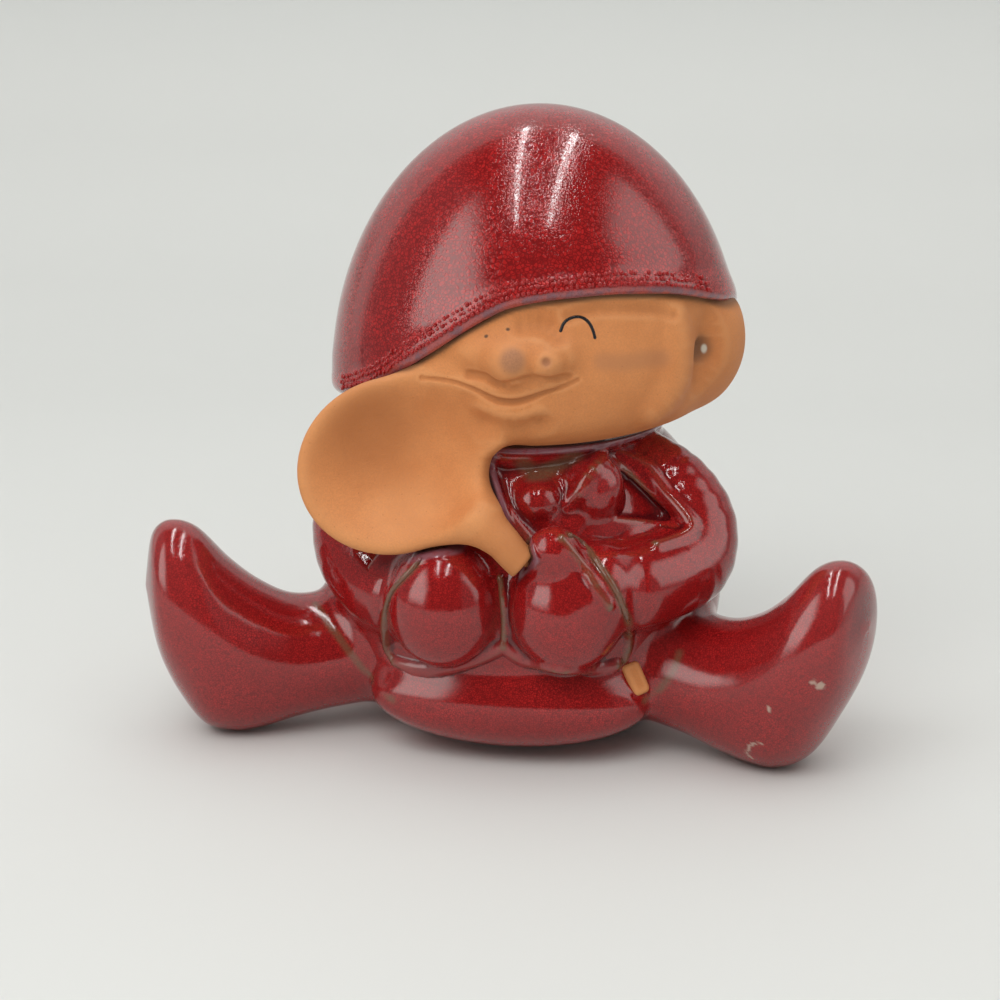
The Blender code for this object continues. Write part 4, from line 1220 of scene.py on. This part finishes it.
def followed(name, paths, tree, values):
    # runs a tree on open paths in millimetres and keeps the result as a plain mesh
    mesh = bpy.data.meshes.new(name)
    verts, edges = [], []
    for path in paths:
        first = len(verts)
        verts += [tuple(place * 0.001) for place in path]
        edges += [(first + index, first + index + 1) for index in range(len(path) - 1)]
    mesh.from_pydata(verts, edges, [])
    item = bpy.data.objects.new(name, mesh)
    bpy.context.scene.collection.objects.link(item)
    modifier = item.modifiers.new("make", "NODES")
    modifier.node_group = tree
    for socket in tree.interface.items_tree:
        if socket.in_out == "INPUT" and socket.name in values:
            modifier[socket.identifier] = values[socket.name]
    bpy.context.view_layer.update()
    made = bpy.data.meshes.new_from_object(item.evaluated_get(bpy.context.evaluated_depsgraph_get()))
    item.modifiers.clear()
    item.data = made
    made.name = name
    made.shade_smooth()
    report(f"{name} made, {len(made.polygons)} faces")
    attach(item, "root")


# bright beads of glaze in three rows along the hood's front edge, at distances from it in millimetres
rimBeads = {"rows": (2.6, 3.7, 4.8), "from": -60.0, "to": 66.0, "spacing": 0.0012, "radius": 0.00055,
            "wander": 0.00028, "sink": 0.1, "seed": 3}


def hoodPath(setBack):
    # path on the hood's skin, a distance up from its edge
    h = headSizes
    turns = np.radians(np.linspace(rimBeads["from"], rimBeads["to"], 150))
    x = 40 * np.sin(turns)
    for step in range(12):
        z = np.interp(x, sweepCurve[:, 0], sweepCurve[:, 1])
        z = z + setBack * np.sqrt(1 + np.interp(x, sweepCurve[:, 0], sweepSlope) ** 2)
        share = np.sqrt(np.clip(1 - ((z - h["hoodWidest"]) / h["hoodRise"]) ** 2, 0, 1))
        lowShare = np.interp(z, hoodRings[0], hoodRings[2]) / h["hoodHalfWidth"]
        share = np.where(z < h["hoodWidest"], lowShare, share)
        reach = share / np.sqrt((np.sin(turns) / h["hoodHalfWidth"]) ** 2
                                + (np.cos(turns) / h["hoodHalfDepth"]) ** 2)
        x = 0.5 * x + 0.5 * reach * np.sin(turns)
    y = -reach * np.cos(turns)
    points = np.array([fromHead(place) for place in zip(x, y, z)])
    for step in range(3):
        slope = slopeOf(hoodForm, points)
        points = points - slope * (hoodForm(points) / np.einsum("ij,ij->i", slope, slope))[:, None]
    return points - slope * rimBeads["sink"]


def glossyPaint(name, colour, roughness):
    material, board, shader, place = startMaterial(name, roughness, 1.5)
    tone = board.noise(place, 1500.0)
    darker = tuple(value * 0.55 for value in colour)
    board.feed(shader.inputs["Base Color"], board.mix(tone, colour, darker))
    board.feed(shader.inputs["Roughness"], board.spread(tone, 0.2, 0.8, roughness * 0.7, roughness * 1.3))
    return material


beadGlaze = glossyPaint("beadGlaze", (0.42, 0.020, 0.020), 0.10)
eyePaint = glossyPaint("eyePaint", (0.012, 0.009, 0.010), 0.22)

beadValues = {"Spacing": rimBeads["spacing"], "Bead radius": rimBeads["radius"], "Wander": rimBeads["wander"],
              "Seed": rimBeads["seed"]}
beadPaths = [hoodPath(setBack) for setBack in rimBeads["rows"]]
followed("hood_rim_beads", beadPaths, beadTree(beadGlaze), beadValues)

# the one painted eye, a fine black arc
paintedEye = {
    "arc": [(14.3, 103.7), (14.9, 105.2), (15.9, 106.2), (17.4, 106.8), (19.0, 106.7), (20.4, 105.7),
            (21.3, 104.1), (21.8, 102.4)],
    "width": 0.0009, "lift": -0.22,
}
eyeArc = bent([(x, 0, z) for x, z in paintedEye["arc"]], 40)
eyePath = laid(faceForm, eyeArc[:, (0, 2)], paintedEye["lift"])
followed("painted_eye", [eyePath], strokeTree(eyePaint), {"Width": paintedEye["width"]})


# pale table that sweeps up into the backdrop, its colours by height with painted shade partway up, and the
# room that the glaze shows
studio = {
    "table": (0.72, 0.73, 0.705), "tableShade": (0.58, 0.595, 0.58), "tableHigh": (0.9, 0.9, 0.9),
    "farLevels": (0.09, 0.26), "highLevels": (0.24, 0.5), "halfWidth": 1.2,
    "profile": [(-0.62, 0.0), (0.0, 0.0), (0.35, 0.0), (0.5, 0.02), (0.62, 0.08), (0.7, 0.2), (0.72, 0.4),
                (0.72, 1.1)],
    "backdrop": (0.80, 0.83, 0.80), "backdropEdge": (0.38, 0.46), "domeGlow": (0.40, 0.40, 0.39),
    "roomGlow": (0.06, 0.055, 0.05), "wallGlow": (0.24, 0.25, 0.25), "wallEdge": (0.47, 0.66),
    "panel": (3.2, 3.1, 3.0), "panelSlant": 0.22, "panelFront": (-0.68, -0.56), "panelBack": (0.02, -0.08),
    "panelFoot": (-0.05, 0.2), "panelSides": (-0.4, 0.4, 1.0, 0.55),
}


def paleTable():
    material, board, shader, place = startMaterial("paleTable", 0.8, 1.4)
    dim = tuple(value * 0.97 for value in studio["table"])
    level = board.add("ShaderNodeSeparateXYZ", {0: place}).outputs["Z"]
    colour = board.mix(board.noise(place, 6.0, 3.0, 0.5), studio["table"], dim)
    # painted shade: the sweep darker from 9 to 26 cm up; above 24 cm it turns paler again
    colour = board.mix(board.spread(level, *studio["farLevels"]), colour, studio["tableShade"])
    colour = board.mix(board.spread(level, *studio["highLevels"]), colour, studio["tableHigh"])
    board.feed(shader.inputs["Base Color"], colour)
    return material


def addSweep():
    half = studio["halfWidth"]
    verts = [(x, y, z) for y, z in studio["profile"] for x in (-half, half)]
    faces = [(2 * i, 2 * i + 1, 2 * i + 3, 2 * i + 2) for i in range(len(studio["profile"]) - 1)]
    mesh = bpy.data.meshes.new("tableSweep")
    mesh.from_pydata(verts, [], faces)
    mesh.shade_smooth()
    sweep = bpy.data.objects.new("tableSweep", mesh)
    bpy.context.scene.collection.objects.link(sweep)
    mesh.materials.append(paleTable())


# lamps: name, place, what it points at, width, length, power, whether it shows in the glaze
lamps = [
    ("tubeLeft", (-0.17, -0.12, 1.05), (-0.17, -0.12, 0.0), 0.044, 1.25, 3.0, True),
    ("tubeRight", (0.18, -0.12, 1.05), (0.18, -0.12, 0.0), 0.052, 1.25, 3.5, True),
    ("softTop", (-0.05, -0.35, 1.3), (0, -0.1, 0.0), 2.2, 2.0, 13.0, False),
    ("softFront", (-0.22, -0.8, 0.85), (0, 0, 0.05), 0.9, 0.6, 5.0, False),
]


def addLamp(name, place, target, width, length, power, seen):
    # a lamp that shows in the glaze gives no soft light, and a soft one doesn't show
    lamp = bpy.data.lights.new(name, "AREA")
    lamp.shape = "RECTANGLE"
    lamp.size = width
    lamp.size_y = length
    lamp.energy = power
    item = bpy.data.objects.new(name, lamp)
    item.location = place
    item.rotation_euler = (Vector(target) - Vector(place)).to_track_quat("-Z", "Y").to_euler()
    item.visible_glossy = seen
    item.visible_diffuse = not seen
    bpy.context.scene.collection.objects.link(item)


def studioWorld():
    # dark room in front, a slanting bright panel at each side and a pale backdrop, as the glaze shows them
    world = bpy.data.worlds.new("studio")
    bpy.context.scene.world = world
    world.use_nodes = True
    board = NodeBoard(world.node_tree)
    s = studio
    way = board.add("ShaderNodeTexCoord").outputs["Generated"]
    ahead, aside = (
        board.add("ShaderNodeVectorMath", {0: way, 1: toward}, operation="DOT_PRODUCT").outputs["Value"]
        for toward in ((-math.sin(azimuth), math.cos(azimuth), 0), (math.cos(azimuth), math.sin(azimuth), 0)))
    level = board.add("ShaderNodeSeparateXYZ", {0: way}).outputs["Z"]
    path = board.add("ShaderNodeLightPath").outputs
    seen = board.maths("MAXIMUM", path["Is Camera Ray"], path["Is Glossy Ray"])
    seen = board.maths("MAXIMUM", seen, path["Is Transmission Ray"])
    slant = board.maths("ADD", ahead, board.times(aside, -s["panelSlant"]))
    panel = board.times(board.spread(slant, *s["panelFront"]), board.spread(slant, *s["panelBack"]))
    panel = board.times(panel, board.spread(level, *s["panelFoot"]))
    panel = board.times(panel, board.spread(aside, *s["panelSides"]))
    wall = board.spread(board.maths("ABSOLUTE", aside), *s["wallEdge"])
    room = board.mix(wall, s["roomGlow"], board.mix(panel, s["wallGlow"], s["panel"]))
    glow = board.mix(board.spread(ahead, *s["backdropEdge"]), room, s["backdrop"])
    board.feed(board.nodes["Background"].inputs["Color"], board.mix(seen, s["domeGlow"], glow))


addSweep()
for lamp in lamps:
    addLamp(*lamp)
studioWorld()
bpy.context.scene.view_settings.view_transform = "Standard"

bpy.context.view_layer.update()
report("done")
